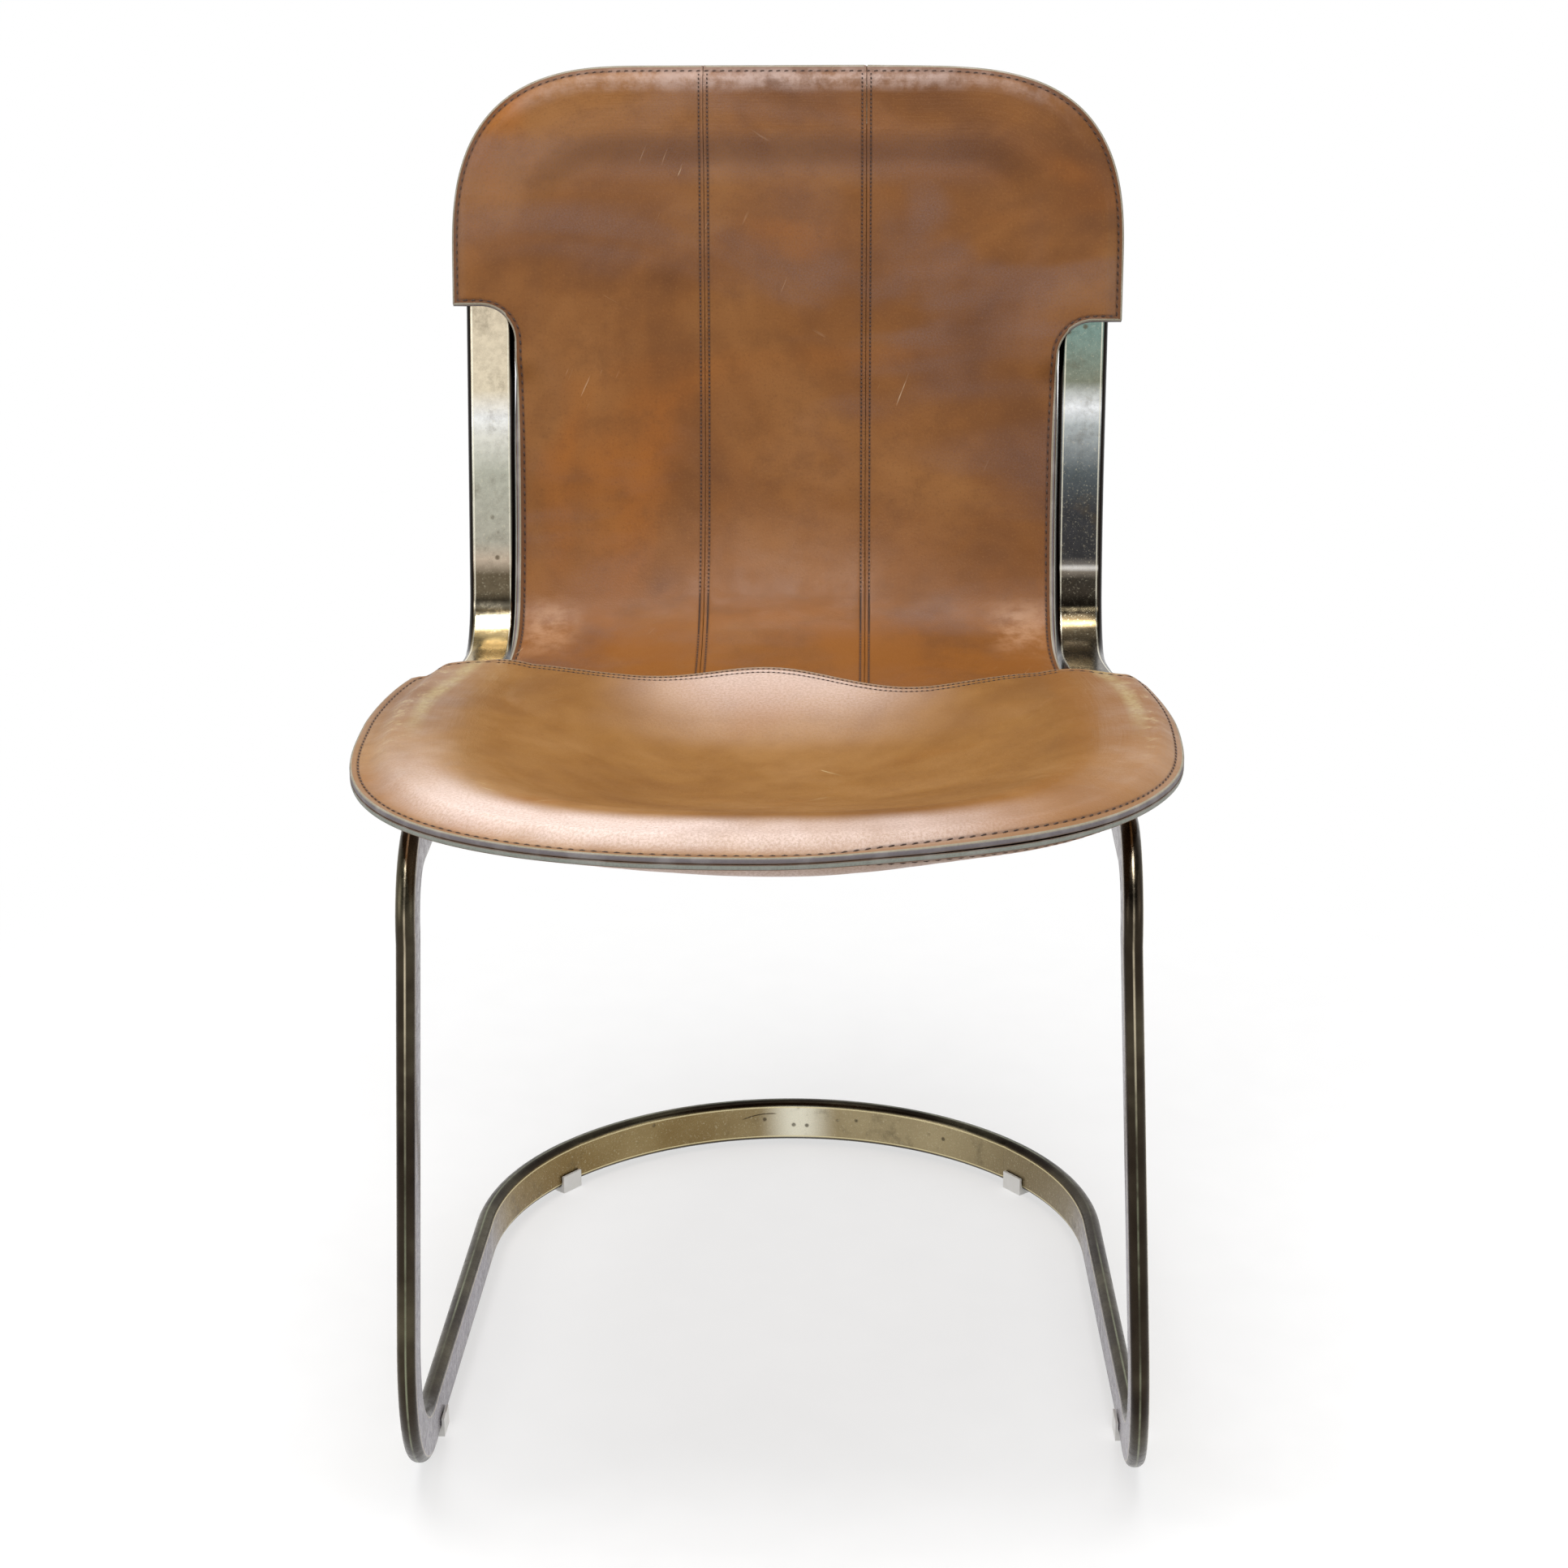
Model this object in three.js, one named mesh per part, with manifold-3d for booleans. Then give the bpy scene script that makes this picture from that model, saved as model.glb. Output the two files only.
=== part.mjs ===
// Cantilever dining chair. One flat-oval bar is bent into the base, a second one into a closed loop,
// and a leather sling sewn round the loop makes the seat and the back.
// Millimetres, +Z up. The sitter faces -Y. The origin is on the floor, under the middle of the chair.
import * as THREE from 'three';
import { mergeVertices } from 'three/addons/utils/BufferGeometryUtils.js';
import Module from 'manifold-3d';

const wasm = await Module();
wasm.setup();

const degrees = THREE.MathUtils.degToRad;
const { lerp, smoothstep, clamp } = THREE.MathUtils;

// Bar, the same in the base and the loop
const barWidth = 32;
const barThickness = 11.5;
const roundSteps = 3;

// Clearances
const fitGap = 0.3;
const wrapGap = 1.5;
const sheetGap = 0.4;
const lapGap = 1.2;
const cutOverrun = 2;

// Base. Depths run back from the middle of the bar at the front of the foot bends.
const footBendRadius = 110;
const upperBendRadius = 44;
const legLean = degrees(1);
const legOutset = 1;
const footSplay = 15;
const hoopInset = 10;
const floorRailReach = 354;
const upperRailInset = 30;
const hoopSideRadius = 196;
const hoopSideTurn = degrees(40.5);
const footBendSteps = 12;
const upperBendSteps = 8;
const hoopArcSteps = 7;

// Glides
const glideSole = 3;
const glideWall = 1.8;
const glideClearance = 0.4;
const glideRise = 10;
const glideLength = 18;
const frontGlideReach = 122;
const glideArcSteps = 5;

// Loop. Runs are lengths along the folded seat and back, from the loop's front edge.
const loopFrontReach = 55;
const seatFrontHeight = 468;
const seatSlope = degrees(3.5);
const backRecline = degrees(13);
const seatBendRadius = 45;
const seatBarRun = 420;
const seatWidestRun = 255;
const seatLoopWidth = 434;
const backLoopWidth = 394;
const backBarRun = 338;
const backCornerRadius = 76;
const seatRoundPower = 2.8;
const seatArcSteps = 14;
const flareSteps = 5;
const seatBendSteps = 9;
const backCornerSteps = 9;

// Leather
const leatherThickness = 3.5;
const seatSideOverhang = 19;
const seatFrontOverhang = 21;
const seatLeatherWidestLead = 5;
const backOverhang = 10;
const seamFlat = 8;
const seatRollReach = 30;
const backRollReach = 26;
const seatBowlDepth = 26;
const seatBowlReach = 115;
const backSagDepth = 12;
const bendLift = 9;

// Rear edge of the seat leather: flaps over the bars, and a wave between them with its crest in the middle.
// Setbacks are runs forward from where the seat bars start to bend.
const flapSetback = 7;
const flapCornerPower = 13.5;
const flapDepthPower = 1.5;
const waveSetback = 60;
const waveHeight = 18;
const waveLength = 200;
const waveDip = 9;
const waveStartSetback = 191;
const seatUnderSetback = 54;

// Back leather
const stripGap = 1.5;
const stripEndSetback = 100;
const lapRun = 28;
const lapLead = 18;
const earDepth = 166;
const earFilletRadius = 20;
const earOpening = 26;
const backLeatherCorner = 128;
const backRoundPower = 2.6;
const panelSeamSpacing = 107.4;

// Bolts, two on each side, up through the upper rails into the loop
const boltRadius = 3;
const boltGrip = 6.8;
const boltHeadRadius = 5;
const boltHeadHeight = 3.2;
const boltSocketRadius = 2;
const boltSocketDepth = 1.8;
const boltHeadChamfer = 1.8;
const boltRecessDepth = 4;
const frontBoltLead = 51;
const rearBoltSetback = 61;
const boltSides = 12;

// Grids of the leather, as shares of its width and of its length
const centreColumnShares = [0.5, 1];
const sideColumnShares = [0.25, 0.5, 0.75, 1];
const earColumnShares = [0.13, 0.3, 0.48, 0.66, 0.76, 0.85, 0.93, 1];
const seatColumnShares = [0.16, 0.33, 0.48, 0.62, 0.74, 0.84, 0.92, 0.975, 1];
const seatRowShares = [0, 0.03, 0.055, 0.08, 0.115, 0.155, 0.2, 0.27, 0.36, 0.45, 0.53, 0.6, 0.68, 0.75, 0.82,
  0.91, 1];
const seatSharedShare = 0.68;
const stripRowShares = [0, 0.12, 0.24, 0.32, 0.39, 0.45, 0.51, 0.62, 0.75, 0.88, 1];
const backRowShares = [0, 0.12, 0.28, 0.46, 0.6, 0.7, 0.77, 0.84, 0.9, 0.955, 1];

// Sizes that follow from the ones above
const barHalf = barWidth / 2;
const seatLoopHalf = seatLoopWidth / 2;
const backLoopHalf = backLoopWidth / 2;
const legSpacingSeat = (seatLoopWidth + backLoopWidth) / 2 + 2 * legOutset;
const legSpacingFoot = legSpacingSeat + 2 * footSplay;
const railSpacingRear = legSpacingFoot - 2 * hoopInset;
const upperRailReach = seatBarRun - loopFrontReach - upperRailInset;
const stripHalf = backLoopHalf - barHalf - stripGap;
const stripEndRun = seatBarRun - stripEndSetback;
const seatLeatherWidestRun = seatWidestRun - seatLeatherWidestLead;
const flapRun = seatBarRun - flapSetback;
const waveRun = seatBarRun - waveSetback;
const waveStartRun = seatBarRun - waveStartSetback;
const seatUnderRun = seatBarRun - seatUnderSetback;
const frontBoltRun = seatWidestRun - frontBoltLead;
const rearBoltRun = seatBarRun - rearBoltSetback;
const seatTurn = Math.PI / 2 - backRecline + seatSlope;
const bendRun = seatBendRadius * seatTurn;
const backStartRun = seatBarRun + bendRun;
const loopTopRun = backStartRun + backBarRun;
const backLeatherTopRun = loopTopRun + backOverhang;
const backLeatherHalf = backLoopHalf + barHalf + backOverhang;
const seatLeatherHalf = seatLoopHalf + barHalf + seatSideOverhang;
const earBottomRun = backLeatherTopRun - earDepth;
const stripTopRun = earBottomRun - earFilletRadius;
const floorBarHeight = glideSole + barHalf;
const togetherRise = (leatherThickness + sheetGap) / 2;
const lappedRise = togetherRise + leatherThickness + lapGap;
const seamHalf = panelSeamSpacing / 2;
const wrapRise = (barThickness + leatherThickness) / 2 + wrapGap;
const railDrop = barThickness / 2 + wrapGap + leatherThickness + fitGap + barHalf;

// Folded surface that the middle of the loop's bar lies in: flat seat, round bend, flat back
function slingFrame(run) {
  const seatAlong = new THREE.Vector3(0, Math.cos(seatSlope), -Math.sin(seatSlope));
  const seatOut = new THREE.Vector3(0, Math.sin(seatSlope), Math.cos(seatSlope));
  const bendCentre = new THREE.Vector3(0, -loopFrontReach, seatFrontHeight)
    .addScaledVector(seatAlong, seatBarRun)
    .addScaledVector(seatOut, seatBendRadius);
  const tilt = clamp((run - seatBarRun) / seatBendRadius, 0, seatTurn) - seatSlope;
  const along = new THREE.Vector3(0, Math.cos(tilt), Math.sin(tilt));
  const out = new THREE.Vector3(0, -Math.sin(tilt), Math.cos(tilt));
  const straight = Math.min(run - seatBarRun, 0) + Math.max(run - backStartRun, 0);
  const origin = bendCentre.addScaledVector(out, -seatBendRadius).addScaledVector(along, straight);
  return { origin, along, out };
}

function onSling(across, run, rise) {
  const { origin, out } = slingFrame(run);
  return origin.addScaledVector(out, rise).setX(across);
}

// Sweep of the bar through stations, each a point and the direction of the bar's broad side
class BarPath extends THREE.Curve {
  constructor(stations) {
    super();
    this.stations = stations;
  }

  getPointAt(share) {
    const station = this.stations[Math.round(share * (this.stations.length - 1))];
    return station.point.clone();
  }

  computeFrenetFrames() {
    const last = this.stations.length - 1;
    const tangents = this.stations.map((station, index) => {
      const before = this.stations[Math.max(index - 1, 0)].point;
      const after = this.stations[Math.min(index + 1, last)].point;
      const back = station.point.clone().sub(before).normalize();
      const ahead = after.clone().sub(station.point).normalize();
      return back.add(ahead).normalize();
    });
    const binormals = this.stations.map((station, index) => (
      tangents[index].clone().cross(station.broad).normalize()));
    const normals = binormals.map((binormal, index) => binormal.clone().cross(tangents[index]));
    return { tangents, normals, binormals };
  }
}

function barSection() {
  const radius = barThickness / 2;
  const flat = barHalf - radius;
  const section = new THREE.Shape();
  section.moveTo(-flat, -radius);
  section.lineTo(flat, -radius);
  section.absarc(flat, 0, radius, -Math.PI / 2, Math.PI / 2, false);
  section.lineTo(-flat, radius);
  section.absarc(-flat, 0, radius, Math.PI / 2, Math.PI * 3 / 2, false);
  return section;
}

function sweptBar(stations) {
  return new THREE.ExtrudeGeometry(barSection(), {
    steps: stations.length - 1,
    curveSegments: roundSteps,
    extrudePath: new BarPath(stations),
  });
}

function mirroredStations(half, keepMiddle) {
  const other = half.slice(0, keepMiddle ? half.length : half.length - 1).reverse();
  return half.concat(other.map(({ point, broad }) => ({
    point: point.clone().setX(-point.x),
    broad: broad.clone().setX(-broad.x),
  })));
}

// Base, right half, from the rear end of the upper rail down to the middle of the hoop
function upperRailHeight(depth) {
  const start = onSling(0, 0, -railDrop);
  return start.z - (depth - start.y) * Math.tan(seatSlope);
}

function bendPoint(centreDepth, centreHeight, radius, heading) {
  return new THREE.Vector2(centreDepth + radius * Math.sin(heading), centreHeight - radius * Math.cos(heading));
}

function legLine() {
  const heading = Math.PI * 3 / 2 - legLean;
  const bottom = bendPoint(footBendRadius, floorBarHeight + footBendRadius, footBendRadius, heading);
  const bendTop = bendPoint(0, 0, upperBendRadius, Math.PI - seatSlope);
  const bendFront = bendPoint(0, 0, upperBendRadius, heading);
  const reach = bendTop.sub(bendFront);
  const short = upperRailHeight(bottom.x + reach.x) - bottom.y - reach.y;
  const length = short / (Math.cos(legLean) + Math.sin(legLean) * Math.tan(seatSlope));
  const top = new THREE.Vector2(bottom.x + length * Math.sin(legLean), bottom.y + length * Math.cos(legLean));
  return { heading, bottom, top };
}

function legHalfSpacing(height) {
  const share = clamp((height - floorBarHeight) / (legLine().top.y - floorBarHeight), 0, 1);
  return lerp(legSpacingFoot, legSpacingSeat, share) / 2;
}

function profileStation(half, spot, heading) {
  return {
    point: new THREE.Vector3(half, spot.x, spot.y),
    broad: new THREE.Vector3(0, -Math.sin(heading), Math.cos(heading)),
  };
}

function bendStations(centre, radius, from, to, steps) {
  return Array.from({ length: steps + 1 }, (unused, step) => {
    const heading = lerp(from, to, step / steps);
    const spot = bendPoint(centre.x, centre.y, radius, heading);
    return profileStation(legHalfSpacing(spot.y), spot, heading);
  });
}

function hoopKnee() {
  const start = Math.atan2((legSpacingFoot - railSpacingRear) / 2, floorRailReach - footBendRadius);
  const turn = start + hoopSideTurn;
  const half = railSpacingRear / 2 - hoopSideRadius * (Math.cos(start) - Math.cos(turn));
  const depth = floorRailReach + hoopSideRadius * (Math.sin(turn) - Math.sin(start));
  return { start, turn, half, depth };
}

function hoopStations() {
  const knee = hoopKnee();
  const rearRadius = knee.half / Math.cos(knee.turn);
  const broad = new THREE.Vector3(0, 0, 1);
  const onArc = (radius, centreHalf, centreDepth, from, to) => (
    Array.from({ length: hoopArcSteps }, (unused, step) => {
      const turn = lerp(from, to, (step + 1) / hoopArcSteps);
      const point = new THREE.Vector3(
        centreHalf + radius * Math.cos(turn), centreDepth + radius * Math.sin(turn), floorBarHeight);
      return { point, broad };
    }));
  const sideHalf = railSpacingRear / 2 - hoopSideRadius * Math.cos(knee.start);
  const sideDepth = floorRailReach - hoopSideRadius * Math.sin(knee.start);
  const rearDepth = knee.depth - rearRadius * Math.sin(knee.turn);
  return onArc(hoopSideRadius, sideHalf, sideDepth, knee.start, knee.turn)
    .concat(onArc(rearRadius, 0, rearDepth, knee.turn, Math.PI / 2));
}

function baseStations() {
  const leg = legLine();
  const railHeading = Math.PI - seatSlope;
  const upperCentre = leg.top.clone().sub(bendPoint(0, 0, upperBendRadius, leg.heading));
  const footCentre = new THREE.Vector2(footBendRadius, floorBarHeight + footBendRadius);
  const railEnd = new THREE.Vector2(upperRailReach, upperRailHeight(upperRailReach));
  const floorEnd = new THREE.Vector2(floorRailReach, floorBarHeight);
  return [
    profileStation(legSpacingSeat / 2, railEnd, railHeading),
    ...bendStations(upperCentre, upperBendRadius, railHeading, leg.heading, upperBendSteps),
    ...bendStations(footCentre, footBendRadius, leg.heading, Math.PI * 2, footBendSteps),
    profileStation(railSpacingRear / 2, floorEnd, Math.PI * 2),
    ...hoopStations(),
  ];
}

// Loop, right half, as a pattern laid flat: across and run
function loopHalfAt(run) {
  const share = clamp((run - seatWidestRun) / (seatBarRun - seatWidestRun), 0, 1);
  return lerp(backLoopHalf, seatLoopHalf, (1 + Math.cos(Math.PI * share)) / 2);
}

function roundFront(half, depth, turn) {
  const power = 2 / seatRoundPower;
  return new THREE.Vector2(
    half * Math.sin(turn) ** power, seatWidestRun - depth * Math.abs(Math.cos(turn)) ** power);
}

function loopPattern() {
  const frontDepth = seatWidestRun - barHalf;
  const front = Array.from({ length: seatArcSteps }, (unused, step) => (
    roundFront(seatLoopHalf, frontDepth, (step + 1) / seatArcSteps * Math.PI / 2)));
  const flare = Array.from({ length: flareSteps }, (unused, step) => {
    const run = lerp(seatWidestRun, seatBarRun, (step + 1) / flareSteps);
    return new THREE.Vector2(loopHalfAt(run), run);
  });
  const bend = Array.from({ length: seatBendSteps }, (unused, step) => (
    new THREE.Vector2(backLoopHalf, seatBarRun + bendRun * (step + 1) / seatBendSteps)));
  const cornerRun = loopTopRun - barHalf - backCornerRadius;
  const corner = Array.from({ length: backCornerSteps + 1 }, (unused, step) => {
    const turn = step / backCornerSteps * Math.PI / 2;
    return new THREE.Vector2(
      backLoopHalf - backCornerRadius * (1 - Math.cos(turn)), cornerRun + backCornerRadius * Math.sin(turn));
  });
  const buttEnd = new THREE.Vector2(fitGap / 2, barHalf);
  const top = new THREE.Vector2(0, loopTopRun - barHalf);
  return [buttEnd, ...front, ...flare, ...bend, ...corner, top];
}

function loopStations() {
  const pattern = loopPattern();
  return pattern.map((spot, index) => {
    const before = pattern[Math.max(index - 1, 0)];
    const after = pattern[Math.min(index + 1, pattern.length - 1)];
    const ends = index === 0 || index === pattern.length - 1;
    const way = ends ? new THREE.Vector2(1, 0) : after.clone().sub(before).normalize();
    const side = new THREE.Vector2(way.y, -way.x);
    const broad = slingFrame(spot.y).along.multiplyScalar(ends ? -1 : side.y).setX(ends ? 0 : side.x);
    return { point: onSling(spot.x, spot.y, 0), broad };
  });
}

function loopOtherHalf(half) {
  const other = half.slice(0, half.length - 1).reverse();
  return other.map(({ point, broad }) => ({
    point: point.clone().setX(-point.x),
    broad: broad.clone().multiplyScalar(-1).setX(broad.x),
  }));
}

// Distance across the pattern from the middle of the loop's bar, positive outside the loop
function loopDistance(across, run) {
  const half = Math.abs(across);
  if (run < seatWidestRun) {
    const ahead = seatWidestRun - run;
    const level = ((half / seatLoopHalf) ** seatRoundPower
      + (ahead / (seatWidestRun - barHalf)) ** seatRoundPower) ** (1 / seatRoundPower);
    return level === 0 ? -seatLoopHalf : Math.hypot(half, ahead) * (1 - 1 / level);
  }
  const side = half - loopHalfAt(run) + backCornerRadius;
  const top = run - (loopTopRun - barHalf - backCornerRadius);
  const corner = Math.hypot(Math.max(side, 0), Math.max(top, 0));
  return corner + Math.min(Math.max(side, top), 0) - backCornerRadius;
}

// Middle of the leather: a bowl in the seat, a wave at its rear, cutting the bend, sagging in the back
function slingMiddle(across, run) {
  const inside = -loopDistance(across, run);
  const bowl = -seatBowlDepth * smoothstep(inside, barHalf, barHalf + seatBowlReach);
  const wave = -waveDip * (1 - Math.cos(Math.PI * 2 * clamp(across / waveLength, -1, 1))) / 2;
  const seat = lerp(bowl, wave, smoothstep(run, waveStartRun, stripEndRun));
  const sag = -backSagDepth * smoothstep(inside, barHalf, backLoopHalf);
  const lift = bendLift * Math.sin(Math.PI * clamp((run - seatBarRun) / bendRun, 0, 1));
  const back = sag * smoothstep(run, backStartRun, backStartRun + bendRun) + lift;
  return lerp(seat, back, smoothstep(run, seatBarRun - lapRun, seatBarRun));
}

function wrapShare(distance, rollReach, overhang) {
  const outer = 1 - smoothstep(distance, barHalf, barHalf + overhang);
  const inner = smoothstep(distance, -barHalf - rollReach, -barHalf);
  return Math.min(outer, inner);
}

function seatRise(across, run, layer) {
  const share = wrapShare(loopDistance(across, run), seatRollReach, seatFrontOverhang - seamFlat);
  const along = smoothstep(run, stripEndRun - lapLead - lapRun, stripEndRun - lapLead);
  const inStrip = 1 - smoothstep(Math.abs(across), seatLoopHalf - barHalf, seatLoopHalf);
  const middleRise = lerp(togetherRise, lappedRise, along * inStrip);
  return slingMiddle(across, run) + layer * Math.max(lerp(togetherRise, wrapRise, share), middleRise);
}

function backRise(across, run, layer) {
  const wrapped = smoothstep(run, stripTopRun - earOpening, stripTopRun);
  const share = wrapShare(loopDistance(across, run), backRollReach, backOverhang) * wrapped;
  return slingMiddle(across, run) + layer * lerp(togetherRise, wrapRise, share);
}

// Leather sheet over a grid of cells, with both faces and a wall along every open edge
function sheet(columnCount, rowCount, hasCell, place) {
  const positions = [];
  const indices = [];
  const spot = (column, row, side) => (column * rowCount + row) * 2 + (side > 0 ? 1 : 0);
  for (let column = 0; column < columnCount; column += 1) {
    for (let row = 0; row < rowCount; row += 1) {
      positions.push(...place(column, row, -1).toArray(), ...place(column, row, 1).toArray());
    }
  }
  const inSheet = (column, row) => (
    column >= 0 && row >= 0 && column < columnCount - 1 && row < rowCount - 1 && hasCell(column, row));
  const wall = (from, to) => {
    const [fromUp, fromLow] = [spot(...from, 1), spot(...from, -1)];
    const [toUp, toLow] = [spot(...to, 1), spot(...to, -1)];
    indices.push(fromUp, fromLow, toLow, fromUp, toLow, toUp);
  };
  for (let column = 0; column < columnCount - 1; column += 1) {
    for (let row = 0; row < rowCount - 1; row += 1) {
      if (inSheet(column, row)) {
        const corners = [[column, row], [column + 1, row], [column + 1, row + 1], [column, row + 1]];
        const [a, b, c, d] = corners.map((corner) => spot(...corner, 1));
        const [e, f, g, h] = corners.map((corner) => spot(...corner, -1));
        indices.push(a, b, c, a, c, d, e, g, f, e, h, g);
        const neighbours = [[column, row - 1], [column + 1, row], [column, row + 1], [column - 1, row]];
        neighbours.forEach((neighbour, edge) => {
          if (!inSheet(...neighbour)) {
            wall(corners[edge], corners[(edge + 1) % corners.length]);
          }
        });
      }
    }
  }
  const geometry = new THREE.BufferGeometry();
  geometry.setAttribute('position', new THREE.Float32BufferAttribute(positions, 3));
  geometry.setIndex(indices);
  return geometry;
}

// Columns of the grids, from the middle out
function centreColumns() {
  return centreColumnShares.map((share) => share * seamHalf);
}

function sideColumns(from) {
  return sideColumnShares.map((share) => lerp(from, stripHalf, share));
}

function mirroredColumns(columns) {
  return columns.map((across) => -across).reverse();
}

// Seat leather
function seatFrontRun(across) {
  const share = Math.min(Math.abs(across) / seatLeatherHalf, 1);
  const depth = seatLeatherWidestRun + seatFrontOverhang;
  return seatLeatherWidestRun - depth * (1 - share ** seatRoundPower) ** (1 / seatRoundPower);
}

function seatFlapRun(across) {
  const share = Math.min(Math.abs(across) / seatLeatherHalf, 1);
  const corner = (1 - share ** flapCornerPower) ** (1 / flapDepthPower);
  return lerp(seatLeatherWidestRun, flapRun, corner);
}

function seatRearRun(across, middleRun, height) {
  const wave = middleRun + height * Math.cos(Math.PI * 2 * clamp(across / waveLength, -1, 1));
  return lerp(wave, seatFlapRun(across), smoothstep(Math.abs(across), stripHalf, seatLoopHalf));
}

function seatSheet(layer, middleRun, height) {
  const outer = seatColumnShares.map((share) => lerp(stripHalf, seatLeatherHalf, share));
  const right = [...centreColumns(), ...sideColumns(seamHalf), ...outer];
  const columns = [...mirroredColumns(right), 0, ...right];
  const place = (column, row, side) => {
    const across = columns[column];
    const share = seatRowShares[row];
    const frontShare = Math.min(share, seatSharedShare);
    const rearShare = (share - frontShare) / (1 - seatSharedShare);
    const shared = lerp(seatFrontRun(across), seatFlapRun(across), frontShare);
    const run = lerp(shared, seatRearRun(across, middleRun, height), rearShare);
    return onSling(across, run, seatRise(across, run, layer) + side * leatherThickness / 2);
  };
  return sheet(columns.length, seatRowShares.length, () => true, place);
}

// Back leather
function backTopRun(across) {
  const share = clamp((Math.abs(across) - backLeatherHalf) / backLeatherCorner + 1, 0, 1);
  const height = (1 - share ** backRoundPower) ** (1 / backRoundPower);
  return backLeatherTopRun - backLeatherCorner * (1 - height);
}

function backLowRun(across) {
  const past = clamp(Math.abs(across) - stripHalf, 0, earFilletRadius);
  return stripTopRun + Math.sqrt(earFilletRadius ** 2 - (earFilletRadius - past) ** 2);
}

function stripFlare(across, run) {
  const share = clamp((Math.abs(across) - seamHalf) / (stripHalf - seamHalf), 0, 1);
  return Math.sign(across) * share ** 2 * (loopHalfAt(run) - backLoopHalf);
}

function backSheet(columns, layer) {
  const stripRows = stripRowShares.length;
  const place = (column, row, side) => {
    const pattern = columns[column];
    const stripRun = lerp(stripEndRun, stripTopRun, stripRowShares[row]);
    const backRun = lerp(backLowRun(pattern), backTopRun(pattern), backRowShares[row - stripRows + 1]);
    const run = row < stripRows - 1 ? stripRun : backRun;
    const across = pattern + stripFlare(pattern, run);
    return onSling(across, run, backRise(across, run, layer) + side * leatherThickness / 2);
  };
  const inStrip = (across) => Math.abs(across) <= stripHalf;
  const hasCell = (column, row) => (
    row >= stripRows - 1 || (inStrip(columns[column]) && inStrip(columns[column + 1])));
  return sheet(columns.length, stripRows + backRowShares.length - 1, hasCell, place);
}

function backSideColumns() {
  const start = seamHalf + fitGap;
  const ear = earColumnShares.map((share) => lerp(stripHalf, backLeatherHalf, share));
  return [start, ...sideColumns(start), ...ear];
}

function backCentreColumns() {
  const right = centreColumns();
  return [...mirroredColumns(right), 0, ...right];
}

// Solids from and back to geometry, for cuts
function solidOf(geometry) {
  const bare = geometry.clone();
  bare.deleteAttribute('normal');
  bare.deleteAttribute('uv');
  const merged = mergeVertices(bare);
  return new wasm.Manifold(new wasm.Mesh({
    numProp: 3,
    vertProperties: new Float32Array(merged.attributes.position.array),
    triVerts: new Uint32Array(merged.index.array),
  }));
}

function cutGeometry(geometry, cutters) {
  const solid = cutters.reduce((left, cutter) => left.subtract(solidOf(cutter)), solidOf(geometry));
  const { vertProperties, triVerts } = solid.getMesh();
  const result = new THREE.BufferGeometry();
  result.setAttribute('position', new THREE.Float32BufferAttribute(vertProperties, 3));
  result.setIndex(Array.from(triVerts));
  return result;
}

// Bolts and their holes
const boltSpots = [
  { name: 'seat_bolt_front_left', across: -legSpacingSeat / 2, run: frontBoltRun },
  { name: 'seat_bolt_front_right', across: legSpacingSeat / 2, run: frontBoltRun },
  { name: 'seat_bolt_rear_left', across: -legSpacingSeat / 2, run: rearBoltRun },
  { name: 'seat_bolt_rear_right', across: legSpacingSeat / 2, run: rearBoltRun },
];
const boltTipRise = boltGrip - barThickness / 2;
const railUndersideRise = -railDrop - barHalf;
const boltSeatRise = railUndersideRise + boltRecessDepth;

function alongSeatNormal(geometry, spot, rise) {
  const turned = geometry.rotateX(Math.PI / 2 - seatSlope);
  const { x, y, z } = onSling(spot.across, spot.run, rise);
  return turned.translate(x, y, z);
}

function boltHole(spot) {
  const top = boltTipRise + fitGap;
  const bottom = railUndersideRise - cutOverrun;
  const hole = new THREE.CylinderGeometry(boltRadius + fitGap, boltRadius + fitGap, top - bottom, boltSides);
  return alongSeatNormal(hole, spot, (top + bottom) / 2);
}

function boltRecess(spot) {
  const height = boltRecessDepth + cutOverrun;
  const radius = boltHeadRadius + fitGap;
  const recess = new THREE.CylinderGeometry(radius, radius, height, boltSides);
  return alongSeatNormal(recess, spot, boltSeatRise - height / 2);
}

function bolt(spot) {
  const head = boltSeatRise - fitGap;
  const bottom = head - boltHeadHeight;
  const profile = [
    new THREE.Vector2(0, bottom + boltSocketDepth),
    new THREE.Vector2(boltSocketRadius, bottom + boltSocketDepth),
    new THREE.Vector2(boltSocketRadius, bottom),
    new THREE.Vector2(boltHeadRadius - boltHeadChamfer, bottom),
    new THREE.Vector2(boltHeadRadius, bottom + boltHeadChamfer),
    new THREE.Vector2(boltHeadRadius, head),
    new THREE.Vector2(boltRadius, head),
    new THREE.Vector2(boltRadius, boltTipRise),
    new THREE.Vector2(0, boltTipRise),
  ];
  return alongSeatNormal(new THREE.LatheGeometry(profile, boltSides), spot, 0);
}

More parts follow.
